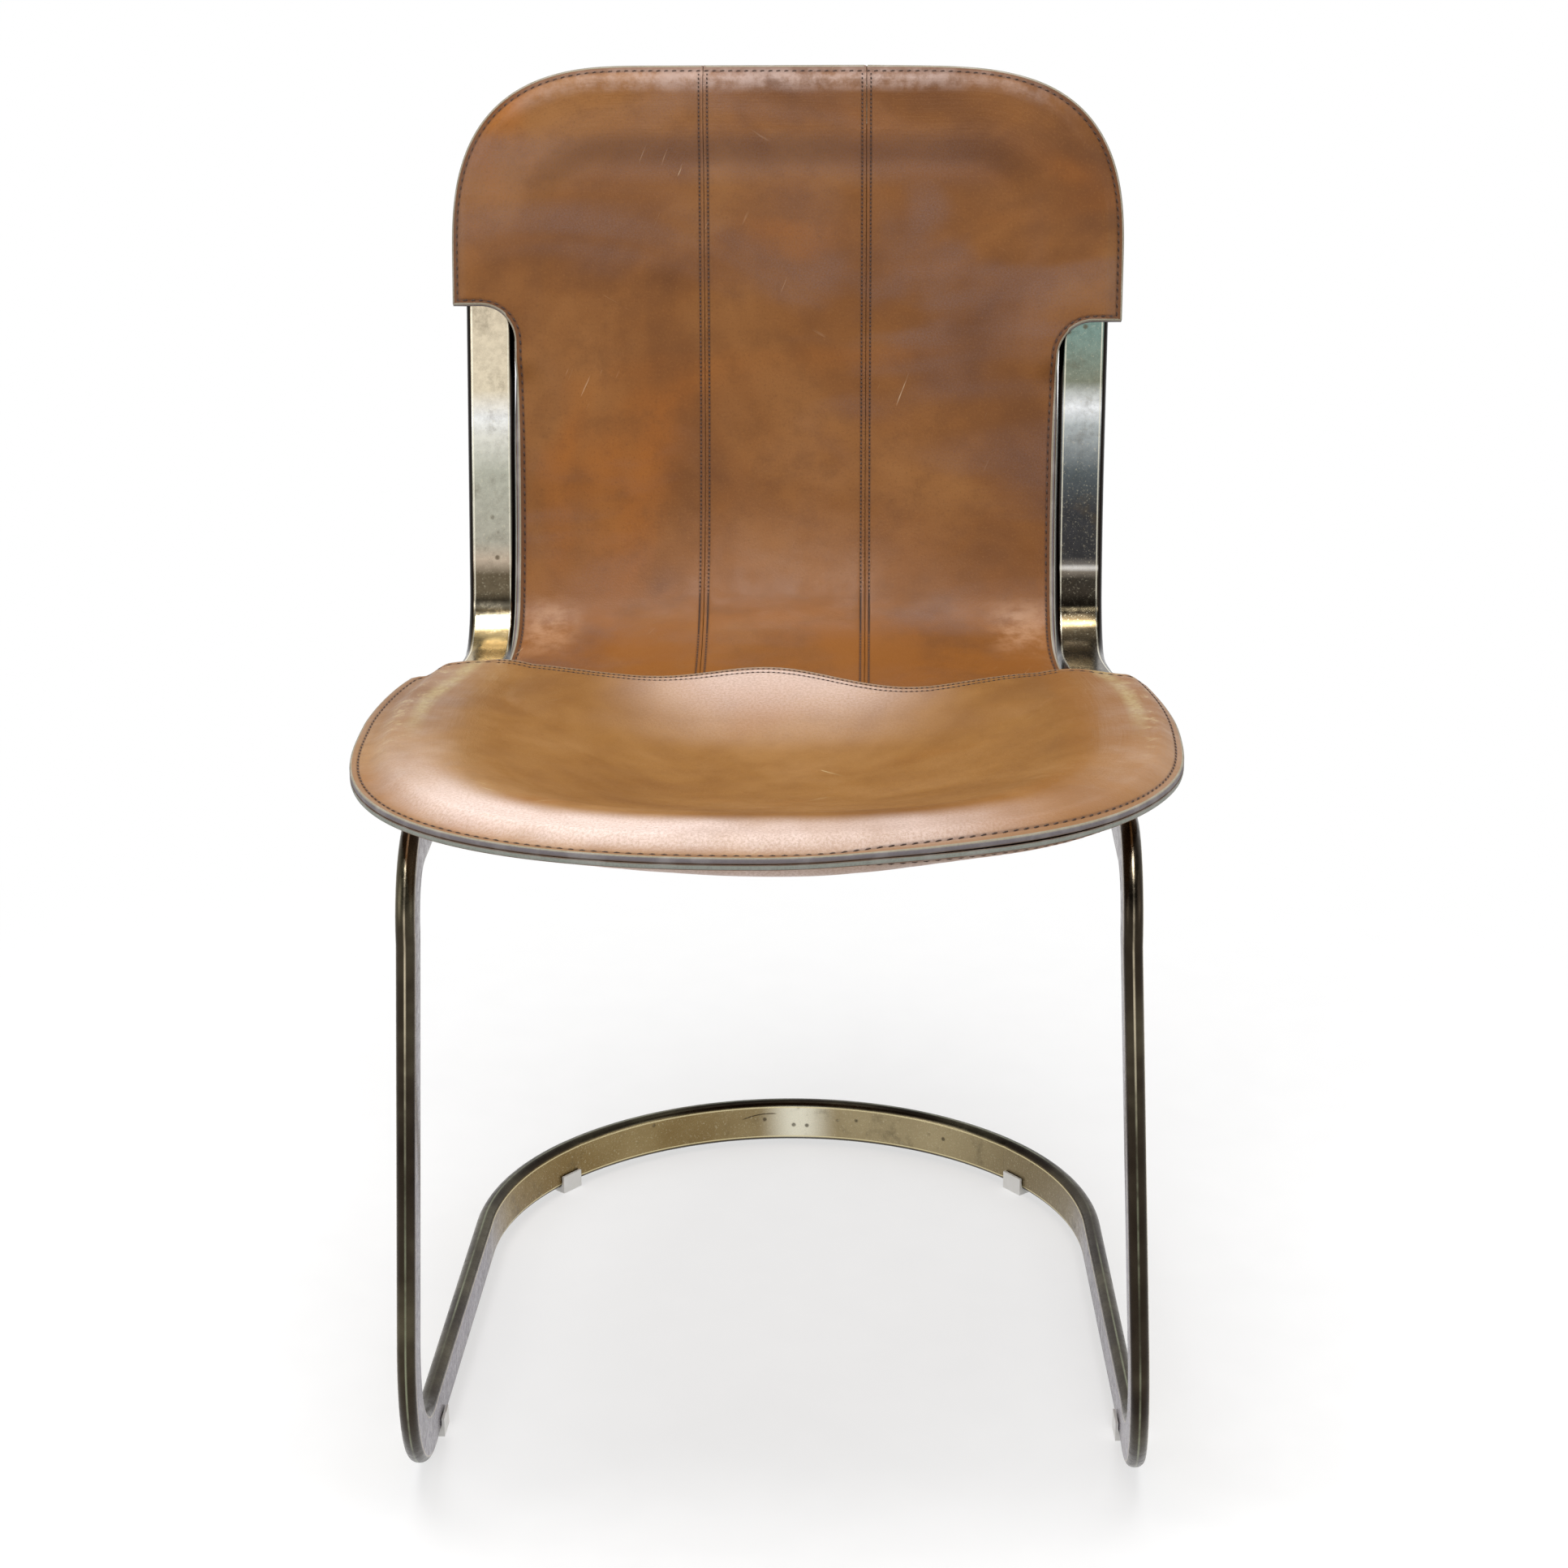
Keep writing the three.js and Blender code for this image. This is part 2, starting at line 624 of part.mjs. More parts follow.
// Glide clipped over the lower edge of the bar
function glide(spot) {
  const inner = barThickness / 2 + glideClearance;
  const outer = inner + glideWall;
  const centre = glideSole + barThickness / 2;
  const outline = new THREE.Shape();
  outline.moveTo(-outer, 0);
  outline.lineTo(outer, 0);
  outline.lineTo(outer, glideSole + glideRise);
  outline.lineTo(inner, glideSole + glideRise);
  outline.lineTo(inner, centre);
  outline.absarc(0, centre, inner, 0, Math.PI, true);
  outline.lineTo(-inner, glideSole + glideRise);
  outline.lineTo(-outer, glideSole + glideRise);
  const clip = new THREE.ExtrudeGeometry(outline, {
    depth: glideLength, curveSegments: glideArcSteps, bevelEnabled: false,
  });
  return clip.translate(0, 0, -glideLength / 2)
    .rotateX(Math.PI / 2)
    .rotateZ(spot.turn)
    .translate(spot.across, spot.depth, 0);
}

function glideSpots() {
  const slant = hoopKnee().start;
  const frontShare = (frontGlideReach - footBendRadius) / (floorRailReach - footBendRadius);
  const frontHalf = lerp(legSpacingFoot, railSpacingRear, frontShare) / 2;
  const [near, far] = hoopStations().slice(hoopArcSteps - 2, hoopArcSteps).map(({ point }) => point);
  const middle = near.clone().add(far).divideScalar(2);
  const turn = Math.atan2(near.x - far.x, far.y - near.y);
  return [
    { name: 'glide_front_left', across: -frontHalf, depth: frontGlideReach, turn: -slant },
    { name: 'glide_front_right', across: frontHalf, depth: frontGlideReach, turn: slant },
    { name: 'glide_rear_left', across: -middle.x, depth: middle.y, turn: -turn },
    { name: 'glide_rear_right', across: middle.x, depth: middle.y, turn },
  ];
}

// Materials
const brass = new THREE.MeshStandardMaterial({ color: 0xa08c58, roughness: 0.22, metalness: 1 });
const backHide = new THREE.MeshStandardMaterial({ color: 0x8c5a36, roughness: 0.42, metalness: 0 });
const seatHide = new THREE.MeshStandardMaterial({ color: 0xae7c50, roughness: 0.42, metalness: 0 });
const clearPlastic = new THREE.MeshStandardMaterial({ color: 0xe4e2da, roughness: 0.35, metalness: 0 });
const darkSteel = new THREE.MeshStandardMaterial({ color: 0x6e6a60, roughness: 0.4, metalness: 1 });

function named(name, geometry, material) {
  const mesh = new THREE.Mesh(geometry, material.clone());
  mesh.name = name;
  return mesh;
}

function bars() {
  const half = loopStations();
  const loop = sweptBar([...half, ...loopOtherHalf(half)]);
  const base = sweptBar(mirroredStations(baseStations(), false));
  const holes = boltSpots.map(boltHole);
  return [
    named('base_frame', cutGeometry(base, [...holes, ...boltSpots.map(boltRecess)]), brass),
    named('seat_back_loop', cutGeometry(loop, holes), brass),
  ];
}

function leather() {
  const right = backSideColumns();
  const left = mirroredColumns(right);
  const centre = backCentreColumns();
  const seatUnder = cutGeometry(seatSheet(-1, seatUnderRun, 0), boltSpots.map(boltHole));
  return [
    named('back_panel_left', backSheet(left, 1), backHide),
    named('back_panel_centre', backSheet(centre, 1), backHide),
    named('back_panel_right', backSheet(right, 1), backHide),
    named('back_lining', backSheet([...left, ...centre, ...right], -1), backHide),
    named('seat_top_leather', seatSheet(1, waveRun, waveHeight), seatHide),
    named('seat_under_leather', seatUnder, seatHide),
  ];
}

const chair = new THREE.Group();
chair.add(...bars(), ...leather());
chair.add(...glideSpots().map((spot) => named(spot.name, glide(spot), clearPlastic)));
chair.add(...boltSpots.map((spot) => named(spot.name, bolt(spot), darkSteel)));

// The origin goes under the middle of the chair's depth
const extent = new THREE.Box3().setFromObject(chair);
chair.position.y = -(extent.min.y + extent.max.y) / 2;

export default chair;
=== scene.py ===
import math

import bmesh
import bpy
import numpy as np
from mathutils import Matrix, Vector
from mathutils.geometry import delaunay_2d_cdt
from mathutils.kdtree import KDTree


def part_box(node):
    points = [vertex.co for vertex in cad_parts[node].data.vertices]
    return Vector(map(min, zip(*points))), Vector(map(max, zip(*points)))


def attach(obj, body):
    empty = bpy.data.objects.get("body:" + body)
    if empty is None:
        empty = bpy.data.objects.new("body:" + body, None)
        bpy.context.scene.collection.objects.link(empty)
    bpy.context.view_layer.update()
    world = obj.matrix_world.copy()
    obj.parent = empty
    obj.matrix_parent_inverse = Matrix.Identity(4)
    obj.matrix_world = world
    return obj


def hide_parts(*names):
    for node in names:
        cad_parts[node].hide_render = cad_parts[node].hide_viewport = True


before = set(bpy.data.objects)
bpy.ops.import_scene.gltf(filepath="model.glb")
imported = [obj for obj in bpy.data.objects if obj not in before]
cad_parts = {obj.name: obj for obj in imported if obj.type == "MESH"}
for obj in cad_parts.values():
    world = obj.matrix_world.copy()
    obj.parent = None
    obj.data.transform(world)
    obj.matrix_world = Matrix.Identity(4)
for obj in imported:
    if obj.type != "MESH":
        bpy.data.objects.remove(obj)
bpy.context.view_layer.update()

# Cantilever dining chair: two brass-plated flat-oval bars and a leather sling sewn round the upper one.
# Metres. The sitter faces -Y. Runs are lengths along the folded sling from the front of the upper bar.

# Bar
BAR_WIDTH = 0.032
BAR_THICKNESS = 0.0115
BAR_EDGE_REACH = 0.0048
BAR_EDGE_STEPS = 10
BAR_STATION_STEP = 0.006
BAR_END_BEVEL = 0.0012
BAR_HALF = BAR_WIDTH / 2

# Base
GLIDE_SOLE = 0.003
FOOT_BEND_RADIUS = 0.11
UPPER_BEND_RADIUS = 0.044
LEG_LEAN = math.radians(1)
LEG_SPACING_SEAT = 0.416
LEG_SPACING_FOOT = 0.446
RAIL_SPACING_REAR = 0.426
FLOOR_RAIL_REACH = 0.354
UPPER_RAIL_REACH = 0.335
HOOP_SIDE_RADIUS = 0.196
HOOP_SIDE_TURN = math.radians(40.5)
FLOOR_BAR_HEIGHT = GLIDE_SOLE + BAR_HALF
FRONT_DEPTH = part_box("base_frame")[0].y + BAR_HALF

# Bolt recesses
BOLT_RECESS_RADIUS = 0.0053
BOLT_RECESS_LENGTH = 0.0082

# Loop
LOOP_FRONT_REACH = 0.055
SEAT_FRONT_HEIGHT = 0.468
SEAT_SLOPE = math.radians(3.5)
BACK_RECLINE = math.radians(13)
SEAT_BEND_RADIUS = 0.045
SEAT_BAR_RUN = 0.42
SEAT_WIDEST_RUN = 0.255
SEAT_LOOP_HALF = 0.217
BACK_LOOP_HALF = 0.197
BACK_BAR_RUN = 0.338
BACK_CORNER_RADIUS = 0.076
SEAT_ROUND_POWER = 2.8
SEAT_TURN = math.pi / 2 - BACK_RECLINE + SEAT_SLOPE
BEND_RUN = SEAT_BEND_RADIUS * SEAT_TURN
BACK_START_RUN = SEAT_BAR_RUN + BEND_RUN
LOOP_TOP_RUN = BACK_START_RUN + BACK_BAR_RUN

# Leather
LEATHER = 0.0035
LEATHER_EDGE_RADIUS = 0.0012
EAR_EDGE_RADIUS = 0.0022
SEAM_EDGE_RADIUS = 0.0003
INNER_EDGE_RADIUS = 0.0003
SHEET_GAP = 0.0004
LAP_GAP = 0.0012
WRAP_GAP = 0.0015
SEAT_LEATHER_HALF = 0.252
SEAT_SHIFT = -0.0045
SEAT_FRONT_OVERHANG = 0.0235
SEAT_EDGE_POWERS = (2.35, 3.0)
SEAT_LEATHER_WIDEST_RUN = 0.25
BACK_OVERHANG = 0.01
SEAM_FLAT = 0.008
SEAT_ROLL_REACH = 0.055
BACK_ROLL_REACH = 0.026
BACK_SKIVED_SHARE = 0.6
SKIVED_REACH = 0.012
SEAT_BOWL_DEPTH = 0.026
SEAT_BOWL_REACH = 0.16
SEAT_BOWL_START_RUN = 0.229
SEAT_BOWL_END_RUN = 0.4
BACK_SAG_DEPTH = 0.012
LEATHER_BEND_RADIUS = 0.12
BEND_LIFT_EDGE_SHARE = 0.45
BELLY_DEPTH = 0.0035
BELLY_MIDDLE = 0.005
BELLY_REACH = 0.12
BELLY_RUNS = (0.02, 0.12)
SHEET_OFF_BAR = 0.0003
TOGETHER_RISE = (LEATHER + SHEET_GAP) / 2
LAPPED_RISE = TOGETHER_RISE + LEATHER + LAP_GAP
WRAP_RISE = (BAR_THICKNESS + LEATHER) / 2 + WRAP_GAP
RAIL_DROP = BAR_THICKNESS / 2 + WRAP_GAP + LEATHER + SHEET_OFF_BAR + BAR_HALF

# What differs at the right: an amount, then where it sets in across and along the run
RIGHT_FRONT_LIFT = 0.0019
RIGHT_LIFT_ACROSS = (0.02, 0.13)
RIGHT_LIFT_RUNS = (0.09, 0.2)
UNDER_RIGHT_DRAW = 0.0011
RIGHT_DRAW_ACROSS = (0.03, 0.12)
RIGHT_DRAW_RUNS = (0.1, 0.2)
RIGHT_REAR_TRIM = 0.0026
REAR_TRIM_ACROSS = (0.16, 0.22)
REAR_TRIM_RUNS = (0.22, 0.32)
RIGHT_FRONT_TRIM = 0.0062
FRONT_TRIM_ACROSS = (0, 0.08)
FRONT_TRIM_RUNS = (0.06, 0.2)
RIGHT_BAR_LEAN = 0.0046

# Rear edge of the seat leather
SIDE_END_RUN = 0.413
FLAP_CORNER_POWER = 13.5
FLAP_DEPTH_POWER = 1.5
FLAP_RUN = 0.37
FLAP_SLOPE_RUN = 0.014
CREST_RUN = 0.374
TROUGH_RUN = 0.351
TROUGH_PLACE = 0.09
UNDER_CREST_RUN = 0.345
REAR_TILT = 0.1
REAR_TILT_HALF = 0.1
REAR_JOIN = 0.004

# Back leather
STRIP_HALF = 0.18
STRIP_END_RUN = 0.32
STRIP_CURL = 0.0055
STRIP_CURL_REACH = 0.012
STRIP_CURL_RUN = 0.376
STRIP_CURL_FADE = 0.07
LAP_RUN = 0.028
LAP_LEAD = 0.018
EAR_DEPTH = 0.166
EAR_FILLET_RADIUS = 0.023
EAR_OPENING = 0.026
EAR_DROPS = {-1: -0.0083, 1: 0.003}
TOP_DROPS = {-1: 0, 1: 0.0018}
BACK_LEATHER_CORNER = 0.128
BACK_ROUND_POWER = 2.78
SEAM_HALF = 0.0537
SEAM_GAP = 0.0003
BACK_LEATHER_TOP_RUN = LOOP_TOP_RUN + BACK_OVERHANG
BACK_LEATHER_HALF = BACK_LOOP_HALF + BAR_HALF + BACK_OVERHANG - 0.001
BEND_MIDDLE_RUN = SEAT_BAR_RUN + BEND_RUN / 2
EAR_BOTTOM_RUN = BACK_LEATHER_TOP_RUN - EAR_DEPTH
STRIP_TOP_RUN = EAR_BOTTOM_RUN - EAR_FILLET_RADIUS

# Sewing
SEAT_ROW_INSET = 0.005
BACK_ROW_INSET = 0.0038
SEAM_ROW_INSET = 0.0028
SEAM_GROOVE_INSET = 0.00085
WAVE_ROW_INSETS = (0.0026, 0.0072)
ROW_PAST_STRIP = 0.004
SEAT_PITCH = 0.0066
EDGE_PITCH = 0.0053
SEAM_PITCH = 0.0027
WAVE_PITCH = 0.0034
ROW_PRESS = 0.0005
ROW_PRESS_HALF = 0.001
GROOVE_PRESS = 0.0006
GROOVE_PRESS_HALF = 0.0004
THREAD_RADIUS = 0.00046
THREAD_SIDES = 5
THREAD_SLANT = math.radians(9)
STITCH_SHARE = 0.86
STITCH_REACH = 0.25

# Rings of a stitch: place in its half length, then height and width in thread radii
STITCH_RINGS = ((-1, -2.2, 0.6), (-0.5, 0.1, 1), (0, 0.75, 1.05), (0.5, 0.1, 1), (1, -2.2, 0.6))

# Fineness of the leather meshes
EDGE_CORNER_STEPS = 4
EDGE_ROWS = 2 * EDGE_CORNER_STEPS - 1
EDGE_STEP = 0.0022
EDGE_BANDS = (0.0009, 0.0022)
ROW_BANDS = (-0.0021, -0.0012, -0.0005, 0, 0.0005, 0.0012, 0.0021)
GROOVE_BANDS = (-0.0003, 0, 0.0003, 0.0006)
BAND_ROOM = 0.0015
RIM_ROOM = 0.0003
CELL = 0.0036

# Stage. Both floor strengths are for light on the chair first, then for the camera and reflections
WORLD_LIGHT = 0.55
FLOOR_GLOWS = (0.3, 0.58)
FLOOR_WHITES = (0.6, 1.0)
WHITE_FROM = 0.45
WHITE_TO = 1.1

# Camera, at the photograph's place
CAMERA_PLACE = (0.0612, -2.1144, 1.1705)
CAMERA_YAW = math.radians(1.58)
CAMERA_PITCH = math.radians(20)
CAMERA_ROLL = math.radians(-0.45)
CAMERA_LENS_MM = 81.24


def eased(value, low, high):
    """0 below low, 1 above high, and a smooth rise between them."""
    share = np.clip((value - low) / (high - low), 0, 1)
    return share * share * (3 - 2 * share)


def lerp(start, end, share):
    return start + (end - start) * share


def unit(ways):
    return ways / np.linalg.norm(ways, axis=1)[:, None]


def lengths_along(line):
    """Length from a line's first point to each of its points."""
    return np.concatenate([[0], np.cumsum(np.linalg.norm(np.diff(line, axis=0), axis=1))])


# Folded surface that the middle of the loop's bar lies in: flat seat, round bend, flat back
def sling_frame(run):
    """Origin, way along and way out at a run, each as depth and height."""
    run = np.asarray(run, float)
    seat_along = np.array([math.cos(SEAT_SLOPE), -math.sin(SEAT_SLOPE)])
    seat_out = np.array([math.sin(SEAT_SLOPE), math.cos(SEAT_SLOPE)])
    front = np.array([FRONT_DEPTH - LOOP_FRONT_REACH, SEAT_FRONT_HEIGHT])
    centre = front + seat_along * SEAT_BAR_RUN + seat_out * SEAT_BEND_RADIUS
    tilt = np.clip((run - SEAT_BAR_RUN) / SEAT_BEND_RADIUS, 0, SEAT_TURN) - SEAT_SLOPE
    along = np.stack([np.cos(tilt), np.sin(tilt)], -1)
    out = np.stack([-np.sin(tilt), np.cos(tilt)], -1)
    straight = np.minimum(run - SEAT_BAR_RUN, 0) + np.maximum(run - BACK_START_RUN, 0)
    origin = centre - out * SEAT_BEND_RADIUS + along * straight[..., None]
    return origin, along, out


def on_sling(across, run, rise):
    origin, _, out = sling_frame(run)
    place = origin + out * np.asarray(rise, float)[..., None]
    return np.concatenate([np.asarray(across, float)[..., None], place], -1)


def loop_half(run):
    """Half the loop's width between the bars' middles, wider in the seat than in the back."""
    share = np.clip((run - SEAT_WIDEST_RUN) / (SEAT_BAR_RUN - SEAT_WIDEST_RUN), 0, 1)
    return lerp(BACK_LOOP_HALF, SEAT_LOOP_HALF, (1 + np.cos(math.pi * share)) / 2)


def loop_distance(across, run):
    """Distance from the middle of the loop's bar, positive outside the loop."""
    half = np.abs(across)
    ahead = np.maximum(SEAT_WIDEST_RUN - run, 0)
    power = SEAT_ROUND_POWER
    level = ((half / SEAT_LOOP_HALF) ** power
             + (ahead / (SEAT_WIDEST_RUN - BAR_HALF)) ** power) ** (1 / power)
    front = np.hypot(half, ahead) * (1 - 1 / np.maximum(level, 1e-6))
    side = half - loop_half(run) + BACK_CORNER_RADIUS
    top = run - (LOOP_TOP_RUN - BAR_HALF - BACK_CORNER_RADIUS)
    corner = (np.hypot(np.maximum(side, 0), np.maximum(top, 0))
              + np.minimum(np.maximum(side, top), 0) - BACK_CORNER_RADIUS)
    return np.where(run < SEAT_WIDEST_RUN, np.maximum(front, -SEAT_LOOP_HALF), corner)


def front_lift(across, run):
    """How much higher the loop and its leather lie at the right front."""
    return RIGHT_FRONT_LIFT * eased(across, *RIGHT_LIFT_ACROSS) * (1 - eased(run, *RIGHT_LIFT_RUNS))


def bend_lift(run):
    """How far the leather stands off the bars' bend where it takes a wider bend of its own."""
    half_turn = SEAT_TURN / 2
    away = np.abs(run - BEND_MIDDLE_RUN)
    apart = (LEATHER_BEND_RADIUS - SEAT_BEND_RADIUS) / math.cos(half_turn)
    turn = np.clip(away / SEAT_BEND_RADIUS, 0, half_turn)
    inside = (SEAT_BEND_RADIUS + apart * np.cos(turn)
              - np.sqrt(LEATHER_BEND_RADIUS ** 2 - (apart * np.sin(turn)) ** 2))
    left = np.clip(apart * math.sin(half_turn) - (away - BEND_RUN / 2), 0, apart * math.sin(half_turn))
    straight = LEATHER_BEND_RADIUS - np.sqrt(LEATHER_BEND_RADIUS ** 2 - left ** 2)
    return np.where(away < BEND_RUN / 2, inside, straight)


def sling_middle(across, run):
    """Rise of the middle of the leather: bowl of the seat, lift over the bend, and sag of the back."""
    inside = -loop_distance(across, run)
    bowl = -SEAT_BOWL_DEPTH * eased(inside, BAR_HALF, BAR_HALF + SEAT_BOWL_REACH)
    bowl = bowl * (1 - eased(run, SEAT_BOWL_START_RUN, SEAT_BOWL_END_RUN))
    side_room = eased(BACK_LOOP_HALF - BAR_HALF - np.abs(across), 0, BACK_LOOP_HALF - BAR_HALF)
    top_room = eased(LOOP_TOP_RUN - 2 * BAR_HALF - run, 0, BACK_BAR_RUN / 2)
    sag = -BACK_SAG_DEPTH * side_room * top_room * eased(run, BACK_START_RUN, BACK_START_RUN + 2 * BEND_RUN)
    lift = bend_lift(run)
    cross = lerp(BEND_LIFT_EDGE_SHARE, 1, np.cos(math.pi / 2 * np.clip(across / STRIP_HALF, -1, 1)) ** 2)
    inner = eased(inside, 0, BAR_HALF)
    return bowl + sag + lift * cross * inner + front_lift(across, run)


def wrap_share(distance, roll_reach, overhang):
    outer = 1 - eased(distance, BAR_HALF, BAR_HALF + overhang)
    return np.minimum(outer, eased(distance, -BAR_HALF - roll_reach, -BAR_HALF))


def seat_rise(across, run, layer):
    share = wrap_share(loop_distance(across, run), SEAT_ROLL_REACH, SEAT_FRONT_OVERHANG - SEAM_FLAT)
    along = eased(run, STRIP_END_RUN - LAP_LEAD - LAP_RUN, STRIP_END_RUN - LAP_LEAD)
    in_strip = 1 - eased(np.abs(across), SEAT_LOOP_HALF - BAR_HALF, SEAT_LOOP_HALF)
    middle_rise = lerp(TOGETHER_RISE, LAPPED_RISE, along * in_strip)
    rise = np.maximum(lerp(TOGETHER_RISE, WRAP_RISE, share), middle_rise)
    if layer < 0:
        front = (1 - eased(run, *BELLY_RUNS)) * (1 - eased(np.abs(across - BELLY_MIDDLE), 0, BELLY_REACH))
        drawn = eased(across, *RIGHT_DRAW_ACROSS) * (1 - eased(run, *RIGHT_DRAW_RUNS))
        rise = rise + share * (BELLY_DEPTH * front - UNDER_RIGHT_DRAW * drawn)
    return sling_middle(across, run) + layer * rise


def back_rise(across, run, layer):
    wrapped = eased(run, STRIP_TOP_RUN - EAR_OPENING, STRIP_TOP_RUN)
    share = wrap_share(loop_distance(across, run), BACK_ROLL_REACH, BACK_OVERHANG) * wrapped
    return sling_middle(across, run) + layer * lerp(TOGETHER_RISE, WRAP_RISE, share)


def strip_curl(across, run):
    """How far the strip's side edges curl forward, and how far they turn."""
    along = eased(run, STRIP_CURL_RUN, STRIP_CURL_RUN + BEND_RUN)
    along = along * (1 - eased(run, STRIP_TOP_RUN - STRIP_CURL_FADE, STRIP_TOP_RUN))
    near = 1 - np.clip(STRIP_HALF - np.abs(across), 0, STRIP_CURL_REACH) / STRIP_CURL_REACH
    return STRIP_CURL * near ** 2 * along, np.arctan(2 * STRIP_CURL / STRIP_CURL_REACH * near * along)


def strip_flare(across, run):
    """How far the back leather spreads sideways where it runs down between the seat bars."""
    share = np.clip((np.abs(across) - SEAM_HALF) / (STRIP_HALF - SEAM_HALF), 0, 1)
    return np.sign(across) * share ** 2 * (loop_half(run) - BACK_LOOP_HALF)


def leaning(across, run):
    """How far the right back bar leans out, and the leather on it."""
    return RIGHT_BAR_LEAN * eased(across, 0, BACK_LOOP_HALF) * eased(run, BACK_START_RUN, LOOP_TOP_RUN)


# Lines on the flat pattern, each an array of across and run
def resampled(line, step):
    """The same line with even steps."""
    lengths = lengths_along(line)
    count = max(int(round(lengths[-1] / step)), 1)
    spots = np.linspace(0, lengths[-1], count + 1)
    return np.stack([np.interp(spots, lengths, line[:, axis]) for axis in range(line.shape[1])], -1)


def area_in(outline):
    """Area inside an outline, above 0 where it runs counter-clockwise."""
    after = np.roll(outline, -1, axis=0)
    return (outline[:, 0] * after[:, 1] - after[:, 0] * outline[:, 1]).sum() / 2


def closed_outline(line):
    """An outline counter-clockwise with even steps, its first point not repeated."""
    even = resampled(np.concatenate([line, line[:1]]), EDGE_STEP)[:-1]
    return even if area_in(even) > 0 else even[::-1]


def turned_left(ways):
    return np.stack([-ways[:, 1], ways[:, 0]], -1)


def inward(outline):
    """Unit ways from each point of a counter-clockwise outline into the piece."""
    return turned_left(unit(np.roll(outline, -1, axis=0) - np.roll(outline, 1, axis=0)))


def nearest_on(line, spots):
    """For each spot, the number of the nearest point of a line."""
    tree = KDTree(len(line))
    for number, (across, run) in enumerate(line):
        tree.insert((across, run, 0), number)
    tree.balance()
    return np.array([tree.find((across, run, 0))[1] for across, run in spots], int)


def distance_to(line, spots, closed):
    """Distance from each spot to an evenly stepped line of the pattern."""
    near = nearest_on(line, spots)
    result = np.linalg.norm(spots - line[near], axis=1)
    for first, second in ((near - 1, near), (near, near + 1)):
        if closed:
            first, second = first % len(line), second % len(line)
        else:
            first, second = np.clip(first, 0, len(line) - 1), np.clip(second, 0, len(line) - 1)
        step = line[second] - line[first]
        square = np.maximum((step ** 2).sum(1), 1e-12)
        share = np.clip(((spots - line[first]) * step).sum(1) / square, 0, 1)
        result = np.minimum(result, np.linalg.norm(spots - line[first] - share[:, None] * step, axis=1))
    return result


def offset_line(outline, inset):
    """The outline moved into the piece by an inset, without the points that a tight bend folds back."""
    moved = outline + inward(outline) * inset
    return moved[distance_to(outline, moved, True) > inset * 0.97]


def rear_run(across, crest_run):
    """Run of the seat leather's rear edge: crest in the middle, a trough on each side, then the flaps."""
    middle = (1 + np.cos(math.pi * np.clip(np.abs(across) / TROUGH_PLACE, 0, 1))) / 2
    inner = lerp(TROUGH_RUN, crest_run, middle)
    outer = lerp(TROUGH_RUN, FLAP_RUN, eased(np.abs(across), TROUGH_PLACE, STRIP_HALF))
    outer = outer - FLAP_SLOPE_RUN * eased(np.abs(across), STRIP_HALF + BAR_HALF, SEAT_LOOP_HALF + BAR_HALF)
    edge = np.where(np.abs(across) < TROUGH_PLACE, inner, outer)
    return edge - REAR_TILT * np.clip(across, -REAR_TILT_HALF, REAR_TILT_HALF)


def seat_side(side, crest_run):
    """Edge of the seat leather on one side, from the front's middle to the rear's middle."""
    turn = np.linspace(0, math.pi / 2, 200)
    depth = SEAT_LEATHER_WIDEST_RUN + SEAT_FRONT_OVERHANG
    front = np.stack([SEAT_LEATHER_HALF * np.sin(turn) ** (2 / SEAT_EDGE_POWERS[0]),
                      SEAT_LEATHER_WIDEST_RUN - depth * np.cos(turn) ** (2 / SEAT_EDGE_POWERS[1])], -1)
    half = SEAT_LEATHER_HALF * np.sin(turn) ** (2 / FLAP_CORNER_POWER)
    run = lerp(SEAT_LEATHER_WIDEST_RUN, SIDE_END_RUN, np.abs(np.cos(turn)) ** (2 / FLAP_DEPTH_POWER))
    flap = np.stack([half, run], -1)[::-1]
    flap = flap[flap[:, 1] < rear_run(flap[:, 0] * side, crest_run) - REAR_JOIN]
    across = np.linspace(flap[-1, 0] - 0.005, 0, 200)
    rear = np.stack([across, rear_run(across * side, crest_run)], -1)
    edge = np.concatenate([front, flap[1:], rear])
    if side > 0:
        rear_trim = eased(edge[:, 1], *REAR_TRIM_RUNS) * eased(edge[:, 0], *REAR_TRIM_ACROSS)
        edge[:, 0] -= RIGHT_REAR_TRIM * rear_trim
        front_trim = eased(edge[:, 0], *FRONT_TRIM_ACROSS) * (1 - eased(edge[:, 1], *FRONT_TRIM_RUNS))
        edge[:, 1] += RIGHT_FRONT_TRIM * front_trim
    return edge * [side, 1]


def seat_outline(crest_run):
    right, left = seat_side(1, crest_run), seat_side(-1, crest_run)
    return closed_outline(np.concatenate([right, left[::-1][1:-1]]) + [SEAT_SHIFT, 0])


